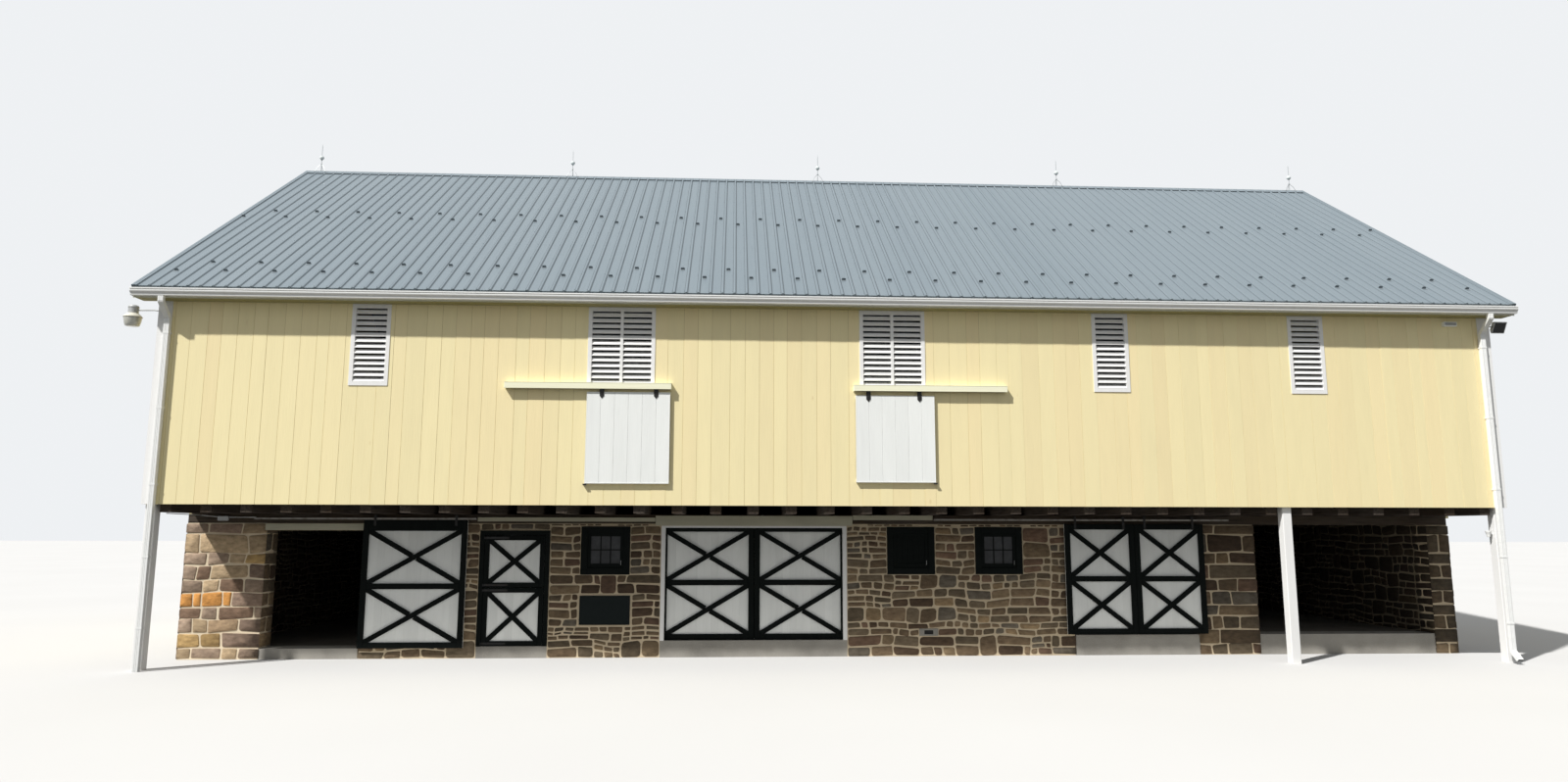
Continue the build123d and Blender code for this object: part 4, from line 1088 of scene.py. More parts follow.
class Leaf:
    """A board door with a raised frame and a cross brace in each of its stacked panels.

    edge is the width of its frame, and head that of the top rail where it differs.
    """

    def __init__(self, node, body, x, z, front, thickness, edge, panels, head=None):
        self.node = node
        self.body = body
        self.x = x
        self.z = z
        self.place = facing("front", front)
        self.thickness = thickness
        self.edge = edge
        self.panels = panels
        self.head = head or edge
        self.rng = random.Random(node)

    def boards(self):
        """The white boards behind the frame."""
        shape = Shape()
        count = round((self.x[1] - self.x[0]) / DOOR_BOARD)
        for left, right in stretches(*self.x, count):
            shade = self.rng.uniform(0.93, 1.0)
            shape.prism(
                self.place, rectangle(left, right, *self.z), -self.thickness, -self.thickness + BACKING,
                0.003, (shade, shade, shade), self.rng.uniform(0, 50),
            )
        make(f"{self.node}_boards", shape, "white_boards", self.body, (self.node,))

    def frame(self):
        """Stiles, rails and braces, flush with each other."""
        shape = Shape()
        x, z, edge = self.x, self.z, self.edge
        inner = (x[0] + edge, x[1] - edge)
        panel = (z[1] - z[0] - self.panels * edge - self.head) / self.panels

        def timber(outline):
            shape.prism(
                self.place, outline, -self.thickness + BACKING, 0.0, PAINT_CHAMFER, WHITE_TINT, self.rng.uniform(0, 50),
            )

        timber(rectangle(x[0], inner[0], *z))
        timber(rectangle(inner[1], x[1], *z))
        for index in range(self.panels + 1):
            bottom = z[0] + index * (panel + edge)
            timber(rectangle(*inner, bottom, bottom + edge if index < self.panels else z[1]))
        for index in range(self.panels):
            bottom = z[0] + edge + index * (panel + edge)
            self.braces(timber, (*inner, bottom, bottom + panel))
        make(f"{self.node}_frame", shape, "black", self.body)

    def braces(self, timber, panel):
        """One brace runs through and the other is in two halves against it."""
        centre = Vector(((panel[0] + panel[1]) / 2, (panel[2] + panel[3]) / 2))
        corner = Vector((panel[1], panel[3])) - centre
        half = BRACE / 2
        for flip in (1, -1):
            along = Vector((corner.x, corner.y * flip)).normalized()
            across = Vector((-along.y, along.x)) * half
            reach = corner.length
            crossing = half / math.sin(2 * math.atan2(corner.y, corner.x))
            spans = ((-reach, reach),) if flip > 0 else ((-reach, -crossing), (crossing, reach))
            for start, end in spans:
                outline = [
                    centre + along * start - across, centre + along * end - across,
                    centre + along * end + across, centre + along * start + across,
                ]
                timber(clipped([tuple(point) for point in outline], *panel))

    def build(self):
        self.boards()
        self.frame()


def dome_bolt(shape, place, u, v, depth, radius=0.009, height=0.006):
    """A round-headed bolt on a flat face."""
    here = place @ Matrix.Translation((u, v, depth))
    shape.revolve(here, ((radius, 0), (radius * 0.9, height * 0.6), (radius * 0.5, height)), 8)


def make_hangers(leaf, rail_top):
    """Strap hangers with their rollers, on a sliding leaf."""
    shape = Shape()
    radius, width = ROLLER_RADIUS, ROLLER_WIDTH
    axle = rail_top + ROLLER_CLEARANCE + radius
    rim = (
        (radius, 0), (radius, 0.004), (radius * 0.86, 0.008), (radius * 0.86, 0.022), (radius, 0.026), (radius, width),
    )
    for x in (leaf.x[0] + HANGER_INSET, leaf.x[1] - HANGER_INSET):
        strap = cut_corners((x - 0.0225, x + 0.0225), (leaf.z[1] - 0.11, axle + radius), 0.006)
        shape.prism(leaf.place, strap, 0, 0.006, 0.001)
        for height in (leaf.z[1] - 0.085, leaf.z[1] - 0.03):
            dome_bolt(shape, leaf.place, x, height, 0.006)
        shape.revolve(leaf.place @ Matrix.Translation((x, axle, -width)), rim, 20)
        dome_bolt(shape, leaf.place, x, axle, 0.006, 0.011, 0.008)
    make(f"{leaf.node}_hangers", shape, "iron", leaf.body)


def make_straps(leaf, pin, heights, reach, leaf_side):
    """Strap hinges, each with an eye round its pin, on a swinging leaf.

    reach is signed along X, and leaf_side is 1 where the leaf lies behind its pins and -1 where before them.
    """
    shape = Shape()
    eye = ((PIN_HOLE, 0), (STRAP_EYE, 0), (STRAP_EYE, STRAP_HEIGHT), (PIN_HOLE, STRAP_HEIGHT), (PIN_HOLE, 0))
    y = pin[1] + leaf_side * (STRAP_EYE - STRAP_THICKNESS / 2)
    faces = (y - STRAP_THICKNESS / 2, y + STRAP_THICKNESS / 2)
    ends = sorted((pin[0] + math.copysign(0.006, reach), pin[0] + reach))
    side = facing("front", faces[0]) if leaf_side > 0 else facing("rear", faces[1])
    for z in heights:
        shape.revolve(Matrix.Translation((*pin, z - STRAP_HEIGHT / 2)), eye, 16, caps=False)
        shape.block(ends, faces, (z - STRAP_HEIGHT / 2, z + STRAP_HEIGHT / 2))
        for share in (0.25, 0.55, 0.9):
            dome_bolt(shape, side, leaf_side * (pin[0] + reach * share), z, 0)
    make(f"{leaf.node}_straps", shape, "iron", leaf.body)


def make_doors():
    """The sliding leaves, the pair in the white casing and the split door."""
    track_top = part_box("west_track")[1].z
    slides = (
        ("west_slide_door", "west_door", 2.680, 0.210),
        ("east_slide_left", "east_left", 2.625, LEAF_EDGE),
        ("east_slide_right", "east_right", 2.625, LEAF_EDGE),
    )
    for node, body, top, head in slides:
        low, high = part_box(node)
        leaf = Leaf(node, body, (low.x, high.x), (low.z, top), SLIDE_FRONT, LEAF_THICKNESS, LEAF_EDGE, 2, head)
        leaf.build()
        make_hangers(leaf, track_top)
    opening = (x_limits("front_wall_middle")[1], x_limits("front_wall_east")[0])
    middle = sum(opening) / 2
    swings = (
        ("centre_door_left", "centre_left", (opening[0] + 0.010, middle - 0.005), 1),
        ("centre_door_right", "centre_right", (middle + 0.005, opening[1] - 0.010), -1),
    )
    for node, body, x, way in swings:
        leaf = Leaf(node, body, x, (0.330, 2.570), CENTRE_FRONT, LEAF_THICKNESS, LEAF_EDGE, 2)
        leaf.build()
        edge = x[0] if way > 0 else x[1]
        make_straps(leaf, (edge + way * 0.008, CENTRE_FRONT + 0.072), (0.580, 2.320), way * STRAP_REACH, -1)
    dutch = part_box("dutch_door_frame")
    x = (dutch[0].x + 0.0977, dutch[1].x - 0.0977)
    for node, body, z in (
        ("dutch_door_lower", "dutch_lower", (0.233, 1.356)),
        ("dutch_door_upper", "dutch_upper", (1.364, 2.382)),
    ):
        leaf = Leaf(node, body, x, z, DUTCH_FRONT, 0.050, DUTCH_EDGE, 1)
        leaf.build()
        heights = (z[0] + DUTCH_EDGE / 2, z[1] - DUTCH_EDGE / 2)
        make_straps(leaf, (x[0] - 0.004, DUTCH_FRONT - 0.012), heights, STRAP_REACH, 1)


make_doors()


# Upper board doors
HATCH_BOARDS = 6
HATCH_SILL = 0.022


def make_hatch(node, hood, shares, peg, seed):
    """White boards hung from two irons that run up under the hood, with a peg low on one side.

    The irons stand at shares of the width, and the peg at 0 or 1.
    """
    rng = random.Random(seed)
    low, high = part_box(node)
    place = facing("front", low.y)
    boards = Shape()
    for left, right in stretches(low.x, high.x, HATCH_BOARDS):
        shade = rng.uniform(0.955, 1.0)
        boards.prism(
            place, rectangle(left + 0.001, right - 0.001, low.z + HATCH_SILL, high.z), -0.030, -0.005,
            0.003, (shade, shade, shade), rng.uniform(0, 50),
        )
    boards.prism(place, rectangle(low.x, high.x, low.z, low.z + HATCH_SILL), -0.030, -0.001, 0.002)
    boards.prism(place, rectangle(low.x, high.x, low.z, high.z), -0.045, -0.030, 0, (0.8, 0.8, 0.8))
    for bottom in (low.z, high.z - 0.06):
        boards.prism(place, rectangle(low.x, high.x, bottom, bottom + 0.06), -0.075, -0.045)
    for left in (low.x, high.x - 0.012):
        boards.prism(place, rectangle(left, left + 0.012, low.z, high.z), -0.045, -0.003, 0.002)
    make(f"{node}_boards", boards, "white_boards", replaces=(node,))
    irons = Shape()
    hood_low, hood_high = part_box(hood)
    rail = hood_low.z
    for share in shares:
        x = low.x + share * (high.x - low.x)
        strap = [
            (x, high.z - 0.125), (x + 0.042, high.z - 0.075), (x + 0.042, rail + 0.035),
            (x - 0.042, rail + 0.035), (x - 0.042, high.z - 0.075),
        ]
        irons.prism(place, strap, -0.004, 0.004, 0.001)
        for height in (high.z - 0.035, high.z + 0.030):
            dome_bolt(irons, place, x, height, 0.004, 0.012, 0.008)
    ends = (hood_low.x + 0.05, hood_high.x - 0.05)
    irons.block(ends, (low.y + 0.005, low.y + 0.015), (rail + 0.004, rail + 0.040))
    x = low.x + peg * (high.x - low.x)
    irons.block((x - 0.03, x + 0.03), (low.y - 0.006, FRONT - 0.004), (low.z - 0.026, low.z - 0.004))
    make(f"{node}_irons", irons, "iron")


HOOD_DEPTH = 0.125
HOOD_BOARD = 0.022
HOOD_FALL = 0.015
HOOD_NOSE = 0.004


def make_hood(node, louvre):
    """A boxed track cover: a face board, a top board that falls a little and two ends.

    Its top board stops short at the casing of the louvre above it.
    """
    low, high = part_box(node)
    shape = Shape()
    back, front = FRONT - 0.007, FRONT - HOOD_DEPTH
    lip = high.z - HOOD_FALL
    shape.block((low.x, high.x), (front, front + HOOD_BOARD), (low.z, lip), 0.003)
    for x in ((low.x, low.x + HOOD_BOARD), (high.x - HOOD_BOARD, high.x)):
        shape.block(x, (front + HOOD_BOARD, back), (low.z, lip - HOOD_BOARD))
    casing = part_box("front_louvres")[0].y - 0.001
    reach = DOUBLE_WIDTH / 2 + 0.002
    for start, end, inner in (
        (low.x, louvre - reach, back), (louvre - reach, louvre + reach, casing), (louvre + reach, high.x, back),
    ):
        start, end = max(start, low.x), min(end, high.x)
        rise = HOOD_FALL * (inner - front) / (back - front)
        nose = front - HOOD_NOSE
        section = [(nose, lip - 0.004), (inner, lip - 0.004), (inner, lip + rise), (nose, lip + 0.002)]
        shape.rings([[Vector((x, y, z)) for y, z in section] for x in (start, end)], caps=True)
    make(f"{node}_boards", shape, "cream", replaces=(node,))


make_hood("west_hood", DOUBLE_LOUVRES[0])
make_hood("east_hood", DOUBLE_LOUVRES[1])
make_hatch("west_hatch_door", "west_hood", (0.18, 0.83), peg=0.0, seed=31)
make_hatch("east_hatch_door", "east_hood", (0.16, 0.81), peg=1.0, seed=32)


# Windows
FRAME_BOARD = 0.130
SASH = 0.066
HALF_BAR = 0.010
SHUTTER_BOARDS = 5


def add_window(frames, panes, place, limits, shutter=False):
    """A broad dark frame and a sash, with three panes over three or closed boards. Returns the sash's opening."""
    outer = grown(limits, -0.002)
    inner = grown(outer, -FRAME_BOARD)
    glass = (inner[0] + SASH, inner[1] - SASH, inner[2] + SASH * 1.3, inner[3] - SASH)
    for around, within, low, high in ((outer, inner, -0.075, 0.015), (inner, glass, -0.060, -0.004)):
        for bar in bars_round(around, within):
            frames.prism(place, rectangle(*bar), low, high, 0.004)
    if shutter:
        for left, right in stretches(glass[0], glass[1], SHUTTER_BOARDS):
            frames.prism(place, rectangle(left, right, *glass[2:]), -0.045, -0.016, 0.003)
        return glass
    for share in (1 / 3, 2 / 3):
        middle = glass[0] + share * (glass[1] - glass[0])
        frames.prism(place, rectangle(middle - HALF_BAR, middle + HALF_BAR, *glass[2:]), -0.045, -0.014, 0.004)
    middle = (glass[2] + glass[3]) / 2
    frames.prism(place, rectangle(*glass[:2], middle - HALF_BAR, middle + HALF_BAR), -0.045, -0.0145, 0.004)
    panes.prism(place, rectangle(*glass), -0.036, -0.030)
    return glass


def make_windows():
    """Front windows with their hooks, and plain rear windows. The middle front one is closed with boards."""
    hooks = Shape()
    front = facing("front", WALL_FACE)
    for node in ("window_west", "window_middle", "window_east"):
        frames, panes = Shape(), Shape()
        shutter = node == "window_middle"
        glass = add_window(frames, panes, front, front_box(node), shutter)
        make(f"{node}_frame", frames, "black_level", replaces=(node,))
        if not shutter:
            make(f"{node}_panes", panes, "pane")
        hook = ((-0.03, -0.004), (-0.01, 0.022), (0.06, 0.024))
        hooks.tube([front @ Vector((glass[1] + 0.02, glass[2] + rise, out)) for rise, out in hook], 0.004, 6)
    make("window_hooks", hooks, "lamp")
    rear = facing("rear", REAR)
    inside = facing("front", REAR_INNER)
    bottom = REAR_WINDOW_LEVELS[0]
    frames, panes = Shape(), Shape()
    for left, right in REAR_WINDOWS:
        add_window(frames, panes, rear, (-right, -left, *REAR_WINDOW_LEVELS))
        frames.prism(inside, rectangle(left + 0.002, right - 0.002, bottom, bottom + 0.02), -0.30, 0.0)
    make("rear_window_frames", frames, "black_level", replaces=("rear_windows",))
    make("rear_window_panes", panes, "pane")


make_windows()


# Roof fittings
EAVE_REACH = -ROOF_LOW.y
RIDGE_HEIGHT = 11.630
SLOPE_LENGTH = EAVE_REACH / math.cos(SLOPE)
SCREW_ROWS = 10
SCREW_ASIDE = 0.042
SCREW = ((0.008, 0), (0.0075, 0.002), (0.0045, 0.0025), (0.004, 0.007))
GUARD_ROWS = ((0.80, 0.44), (1.27, 0.89), (4.27, 0.70), (4.70, 0.18))
GUARD_STAND = ((-0.040, 0.0), (0.040, 0.0), (0.040, 0.034), (0.028, 0.046), (-0.028, 0.046), (-0.040, 0.034))
GUARD_FIN = ((0, 0), (0.04, 0), (0, 0.04))
GUARD_HALF = 0.0015
TRIM_TOP, TRIM_WIDTH, TRIM_DROP, TRIM_SHEET = 0.021, 0.09, 0.085, 0.0015


def on_slope(x, run, side):
    """A place on a roof slope: x along the roof, run metres up from the eave, side -1 at the front."""
    y = side * (EAVE_REACH - run * math.cos(SLOPE))
    z = RIDGE_HEIGHT - abs(y) * math.tan(SLOPE)
    right = ALONG if side < 0 else -ALONG
    uphill = Vector((0, -side * math.cos(SLOPE), math.sin(SLOPE)))
    return place_of(right, uphill, right.cross(uphill), Vector((x, y, z)))


def make_screws():
    """Washer-headed screws beside the ribs, on each line of battens."""
    for side, name in ((-1, "front_roof_screws"), (1, "rear_roof_screws")):
        shape = Shape()
        for row in range(SCREW_ROWS):
            run = 0.10 + row * (SLOPE_LENGTH - 0.45) / (SCREW_ROWS - 1)
            for index in range(RIB_COUNT - 1):
                x = (index - (RIB_COUNT - 2) / 2) * RIB_PITCH + RIB_PITCH / 2 - SCREW_ASIDE
                shape.revolve(on_slope(x, run, side), SCREW, 6)
        make(name, shape, "roof")


def make_snow_guards():
    """Small angle plates in four lines on each slope, each with an upright and two fins."""
    for side, name in ((-1, "front_snow_guards"), (1, "rear_snow_guards")):
        shape = Shape()
        for run, first in GUARD_ROWS:
            x = ROOF_LOW.x + first
            while x < ROOF_HIGH.x - 0.05:
                place = on_slope(-x, run, side)
                shape.prism(place, rectangle(-0.040, 0.040, -0.045, 0.045), 0, 0.003, 0.001)
                stand = place @ Matrix.Translation((0, 0.020, 0)) @ turned(90, "X")
                shape.prism(stand, GUARD_STAND, -GUARD_HALF, GUARD_HALF)
                for way in (-1, 1):
                    turn = Matrix.Translation((way * 0.022, 0.020, 0)) @ turned(90, "Z")
                    shape.prism(place @ turn @ turned(90, "X"), GUARD_FIN, -GUARD_HALF, GUARD_HALF)
                x += SHEET_WIDTH
        make(name, shape, "guard")


def make_rake_trim():
    """Folded edge sheets that lap the outer ribs and the rake boards."""
    shape = Shape()
    top, wide, drop, thin = TRIM_TOP, -TRIM_WIDTH, -TRIM_DROP, TRIM_SHEET
    for side in (-1, 1):
        for end in (-1, 1):
            flip = end if side < 0 else -end
            base = on_slope(end * ROOF_HIGH.x, 0, side)
            outer = [(0.004, drop), (0.004, top), (wide, top), (wide, 0.0)]
            inner = [(0.004 - thin, drop), (0.004 - thin, top - thin), (wide + thin, top - thin), (wide + thin, 0.0)]
            ring = [(flip * u, w) for u, w in outer + inner[::-1]]
            if flip > 0:
                ring.reverse()
            rings = [[base @ Vector((u, run, w)) for u, w in ring] for run in (-0.004, SLOPE_LENGTH - 0.02)]
            shape.rings(rings, caps=True)
    make("rake_trim", shape, "roof")


make_screws()
make_snow_guards()
make_rake_trim()


# Gutters and downspouts
GUTTER_PROFILE = (
    (0.000, 0.000), (0.000, -0.140), (0.074, -0.140), (0.083, -0.134), (0.086, -0.118), (0.088, -0.104),
    (0.094, -0.092), (0.104, -0.082), (0.112, -0.071), (0.117, -0.058), (0.118, -0.044), (0.110, -0.034),
    (0.108, -0.027), (0.124, -0.023), (0.125, -0.020), (0.125, -0.003), (0.122, 0.000), (0.111, 0.000),
    (0.109, -0.005),
)
GUTTER_SHEET = 0.0016
GUTTER_CAP = 0.002
GUTTER_SEAMS = 4
GUTTER_HANGERS = 36


def make_gutter(side):
    """An ogee trough with end caps, seams over its face and hangers across its top."""
    node = "front_gutter" if side < 0 else "rear_gutter"
    low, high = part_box(node)
    fascia = high.y if side < 0 else low.y
    shape = Shape()
    outer = [(fascia + side * out, high.z + down) for out, down in GUTTER_PROFILE]
    inner = []
    for index, (y, z) in enumerate(outer):
        before, after = neighbours(outer, index)
        along = Vector((after[0] - before[0], after[1] - before[1])).normalized()
        inner.append((y - along.y * GUTTER_SHEET * side, z + along.x * GUTTER_SHEET * side))
    ring = outer + inner[::-1]
    if side > 0:
        ring.reverse()
    shape.rings([[Vector((x, y, z)) for y, z in ring] for x in (low.x, high.x)])
    count = len(outer)
    for x, inward in ((low.x, GUTTER_CAP), (high.x, -GUTTER_CAP)):
        points = [Vector((at, y, z)) for at in (x, x + inward) for y, z in outer]
        shape.add(points, [tuple(range(count)), tuple(range(2 * count - 1, count - 1, -1))])
    for index in range(1, GUTTER_SEAMS + 1):
        x = low.x + index * (high.x - low.x) / (GUTTER_SEAMS + 1)
        rings = [
            [Vector((at, y + side * 0.0012, z - 0.0006)) for y, z in outer[1:12]] for at in (x - 0.012, x + 0.012)
        ]
        if side > 0:
            rings.reverse()
        shape.rings(rings, closed=False)
    y = sorted((fascia + side * 0.002, fascia + side * 0.120))
    for index in range(GUTTER_HANGERS):
        x = low.x + (index + 0.5) * (high.x - low.x) / GUTTER_HANGERS
        shape.block((x - 0.012, x + 0.012), y, (high.z - 0.012, high.z - 0.010))
    make(f"{node}_trough", shape, "enamel", replaces=(node,))


def bent(points, radius, steps):
    """A route with its corners rounded, as a list of points."""
    route = [Vector(points[0])]
    for before, here, after in zip(points, points[1:], points[2:]):
        before, here, after = Vector(before), Vector(here), Vector(after)
        first, second = (before - here).normalized(), (after - here).normalized()
        reach = radius / math.tan(first.angle(second) / 2)
        start, end = here + first * reach, here + second * reach
        for step in range(steps + 1):
            share = step / steps
            low, high = start.lerp(here, share), here.lerp(end, share)
            route.append(low.lerp(high, share))
    route.append(Vector(points[-1]))
    return route


PIPE_WIDTH, PIPE_DEPTH = 0.105, 0.076
FLUTE = 0.004
FLUTES = ((0.07, 0), (0.32, 0), (0.38, 1), (0.44, 0), (0.56, 0), (0.62, 1), (0.68, 0), (0.93, 0))
CRIMP = 0.965
PIPE_STRAPS = (6.1, 4.7, 3.3, 2.0, 0.75)


def pipe_section():
    """A rectangular pipe's outline, with shallow flutes in its faces."""
    corners = [Vector(point) for point in rectangle(-PIPE_WIDTH / 2, PIPE_WIDTH / 2, -PIPE_DEPTH / 2, PIPE_DEPTH / 2)]
    section = []
    for start, end in zip(corners, corners[1:] + corners[:1]):
        along = end - start
        inward = Vector((-along.y, along.x)).normalized()
        section += [start + along * share + inward * sunk * FLUTE for share, sunk in FLUTES]
    return section


def make_downspouts():
    """Fluted pipes with crimped elbows and wall straps. The right ones end in a turned-out shoe."""
    shape = Shape()
    section = pipe_section()
    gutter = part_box("front_gutter")
    outlet = -gutter[1].y + 0.0417
    pipe_y = REAR + 0.020 + 0.012 + 0.038
    elbow = SOFFIT - 0.076
    half = PIPE_DEPTH / 2 + 0.0025

    def slice_at(point, tangent, scale):
        out = tangent.cross(ALONG)
        return [point + (ALONG * u + out * v) * scale for u, v in section]

    for side in (-1, 1):
        for end in (-1, 1):
            x = end * (HALF_LENGTH - 0.190)
            stops = [
                (x, side * outlet, gutter[0].z), (x, side * outlet, elbow),
                (x, side * pipe_y, elbow - (outlet - pipe_y)),
            ]
            if end < 0:
                stops.append((x, side * pipe_y, 0.0))
            else:
                stops += [(x, side * pipe_y, 0.232), (x, side * (pipe_y + 0.152), 0.080)]
            route = bent(stops, 0.055, 6)
            rings = []
            for index, point in enumerate(route):
                before, after = neighbours(route, index)
                crimped = 0 < index < len(route) - 1 and index % 2
                rings.append(slice_at(point, (after - before).normalized(), CRIMP if crimped else 1.0))
            tangent = (route[-1] - route[-2]).normalized()
            rings += [slice_at(route[-1] - tangent * back, tangent, 0.95) for back in (0.0, 0.08)]
            shape.rings(rings, caps=True)
            for height in PIPE_STRAPS:
                behind = pipe_y - half if height < SIDING_BOTTOM and side < 0 else REAR + 0.006
                y = sorted((side * behind, side * (pipe_y + half)))
                shape.block((x - 0.056, x + 0.056), y, (height - 0.016, height + 0.016), 0.003)
    make("downspout_pipes", shape, "enamel", replaces=("downspouts",))


make_gutter(-1)
make_gutter(1)
make_downspouts()


# Posts
POST_CHAMFER = 0.010
GABLE_SIDING = 0.060


def make_post(node):
    """A painted timber post with eased edges. A corner post's head is cut back behind the gable boards."""
    low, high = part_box(node)
    shape = Shape()
    x, y = (low.x, high.x), (low.y, high.y)
    face = HALF_LENGTH - GABLE_SIDING
    head = (max(low.x, -face), min(high.x, face))
    cut = SIDING_BOTTOM if head != x else high.z
    shape.block(x, y, (low.z, cut), POST_CHAMFER)
    if cut < high.z:
        shape.block(head, y, (cut, high.z))
    make(f"{node}_timber", shape, "white_upright", replaces=(node,))


for post in ("left_corner_post", "right_corner_post", "middle_post"):
    make_post(post)


# Lightning rods
ROD_COUNT = 5
ROD_INSET = 0.020
ROD_PROFILE = (
    (0.010, 0), (0.008, 0.16), (0.020, 0.165), (0.020, 0.185), (0.008, 0.19), (0.008, 0.285), (0.024, 0.29),
    (0.018, 0.300), (0.010, 0.302), (0.010, 0.400), (0.024, 0.402), (0.016, 0.415), (0.007, 0.42),
    (0.007, 0.66), (0.003, 0.70), (0.001, 0.719),
)
LEG_REACH = (0.16, 0.12)
LEG_TOP = 0.175
GLOBE_STEPS = 12
GLOBE_MIDDLE = 0.350


def make_rods():
    """Pointed rods on three legs, each through a glass globe."""
    metal, globes = Shape(), Shape()
    base = RIDGE_CAP[1].z
    ends = HALF_LENGTH - ROD_INSET
    globe = []
    for step in range(GLOBE_STEPS + 1):
        turn = math.pi * step / GLOBE_STEPS
        globe.append((max(0.009, 0.058 * math.sin(turn)), GLOBE_MIDDLE - 0.056 * math.cos(turn)))
    for index in range(ROD_COUNT):
        place = Matrix.Translation((-ends + index * 2 * ends / (ROD_COUNT - 1), 0, base))
        metal.revolve(place, ROD_PROFILE, 12)
        for leg in range(3):
            turn = math.radians(90 + 120 * leg)
            foot = Vector((math.cos(turn) * LEG_REACH[0], math.sin(turn) * LEG_REACH[1], 0))
            drop = -abs(foot.y) * math.tan(SLOPE)
            knee = Vector((foot.x * 0.6, foot.y * 0.6, 0.08))
            path = (Vector((0, 0, LEG_TOP)), knee, foot + Vector((0, 0, drop + 0.004)))
            metal.tube([place @ point for point in path], 0.006, 6)
            pad = place @ Matrix.Translation(foot + Vector((0, 0, drop)))
            metal.revolve(pad, ((0.022, -0.002), (0.022, 0.006)), 8)
        globes.revolve(place, globe, 24)
    make("rod_metalwork", metal, "rod", replaces=("lightning_rods",))
    make("rod_glass_globes", globes, "opal", replaces=("rod_globes",), smooth=True)


make_rods()


# Lamps and small fittings
YARD_LIGHT_REACH = 0.600
YARD_SHADE = ((0.092, -0.045), (0.150, -0.118), (0.158, -0.126), (0.160, -0.122), (0.156, -0.108), (0.105, -0.055))
YARD_HOUSING = (
    (0.088, -0.060), (0.088, 0.060), (0.094, 0.064), (0.094, 0.076), (0.080, 0.098), (0.050, 0.114), (0.020, 0.120),
)
YARD_BOWL = (
    (0.020, -0.298), (0.090, -0.297), (0.116, -0.288), (0.128, -0.262), (0.144, -0.190), (0.150, -0.136),
    (0.150, -0.124),
)
YARD_BOWL_RIPPLE = 0.018
YARD_FLANGE = ((0.048, 0), (0.048, 0.004), (0.022, 0.008), (0.020, 0.030))
PLAQUE_RIM = 0.022
VENT_SLATS = 3
CONDUIT_LEVEL = 2.735
SENSOR_LOW = SOFFIT - 0.185
SENSOR_SIZE = (0.27, 0.09)
FLOOD = Vector((13.13, FRONT + 0.060, SOFFIT - 0.160))
FLOOD_TILT = 28
FLOOD_RINGS = ((0.085, 0.075, -0.064), (0.095, 0.085, -0.050), (0.129, 0.118, 0.040), (0.129, 0.118, 0.060))
FLOOD_FLANGE = ((0.034, 0), (0.034, 0.004), (0.016, 0.010))
POST_LAMP_LEVEL = 2.440
POST_LAMP = (
    (0.014, -0.060), (0.027, -0.056), (0.034, -0.010), (0.052, 0.040), (0.054, 0.058), (0.049, 0.060), (0.044, 0.046),
)


def make_yard_light():
    """A barn light: round housing, flared shade and a ribbed glass bowl on a curved arm."""
    low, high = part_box("yard_light")
    x = -HALF_LENGTH - YARD_LIGHT_REACH
    y = (low.y + high.y) / 2
    level = high.z - YARD_HOUSING[-1][1]
    place = Matrix.Translation((x, y, level))
    metal, shade, bowl = Shape(), Shape(), Shape()
    shade.revolve(place, YARD_SHADE, 36)
    metal.revolve(place, YARD_HOUSING, 36)
    bowl.revolve(place, YARD_BOWL, 96, YARD_BOWL_RIPPLE)
    arm = bent([
        (-HALF_LENGTH - 0.004, y, level - 0.02), (-HALF_LENGTH - 0.20, y, level + 0.02), (x + 0.085, y, level + 0.015),
    ], 0.35, 6)
    metal.tube(arm, 0.014, 12)
    metal.revolve(Matrix.Translation((-HALF_LENGTH - 0.006, y, level - 0.02)) @ turned(-90, "Y"), YARD_FLANGE, 16)
    make("yard_light_metal", metal, "lamp", replaces=("yard_light",))
    make("yard_light_shade", shade, "shade")
    make("yard_light_bowl", bowl, "bowl", smooth=True)


def make_plaque():
    """A plaque without lettering, with a rim and four bolts."""
    front = facing("front", WALL_FACE)
    plaque = Shape()
    u0, u1, v0, v1 = PLAQUE
    rim = PLAQUE_RIM
    plaque.prism(front, rectangle(u0, u1, v0, v1), 0.0, 0.016, 0.004)
    for part in (
        (u0, u1, v0, v0 + rim), (u0, u1, v1 - rim, v1),
        (u0, u0 + rim, v0 + rim, v1 - rim), (u1 - rim, u1, v0 + rim, v1 - rim),
    ):
        plaque.prism(front, rectangle(*part), 0.016, 0.021, 0.002)
    for u in (u0 + 0.05, u1 - 0.05):
        for v in (v0 + 0.05, v1 - 0.05):
            dome_bolt(plaque, front, u, v, 0.016, 0.010, 0.006)
    make("blank_plaque", plaque, "bronze")


def make_vent():
    """A slatted iron vent in a concrete surround."""
    front = facing("front", WALL_FACE)
    hole = (VENT[0] + 0.10, VENT[1] - 0.10, VENT[2] + 0.03, VENT[3] - 0.03)
    block = Shape()
    for bar in bars_round(VENT, hole):
        block.prism(front, rectangle(*bar), -0.01, 0.016, 0.002)
    make("vent_block", block, "concrete")
    vent = Shape()
    vent.prism(front, rectangle(*hole), -0.01, 0.001)
    for index in range(VENT_SLATS):
        bottom = hole[2] + 0.010 + index * 0.024
        vent.prism(front, rectangle(hole[0], hole[1], bottom, bottom + 0.006), 0.001, 0.010, 0.002)
    make("wall_vent", vent, "iron")


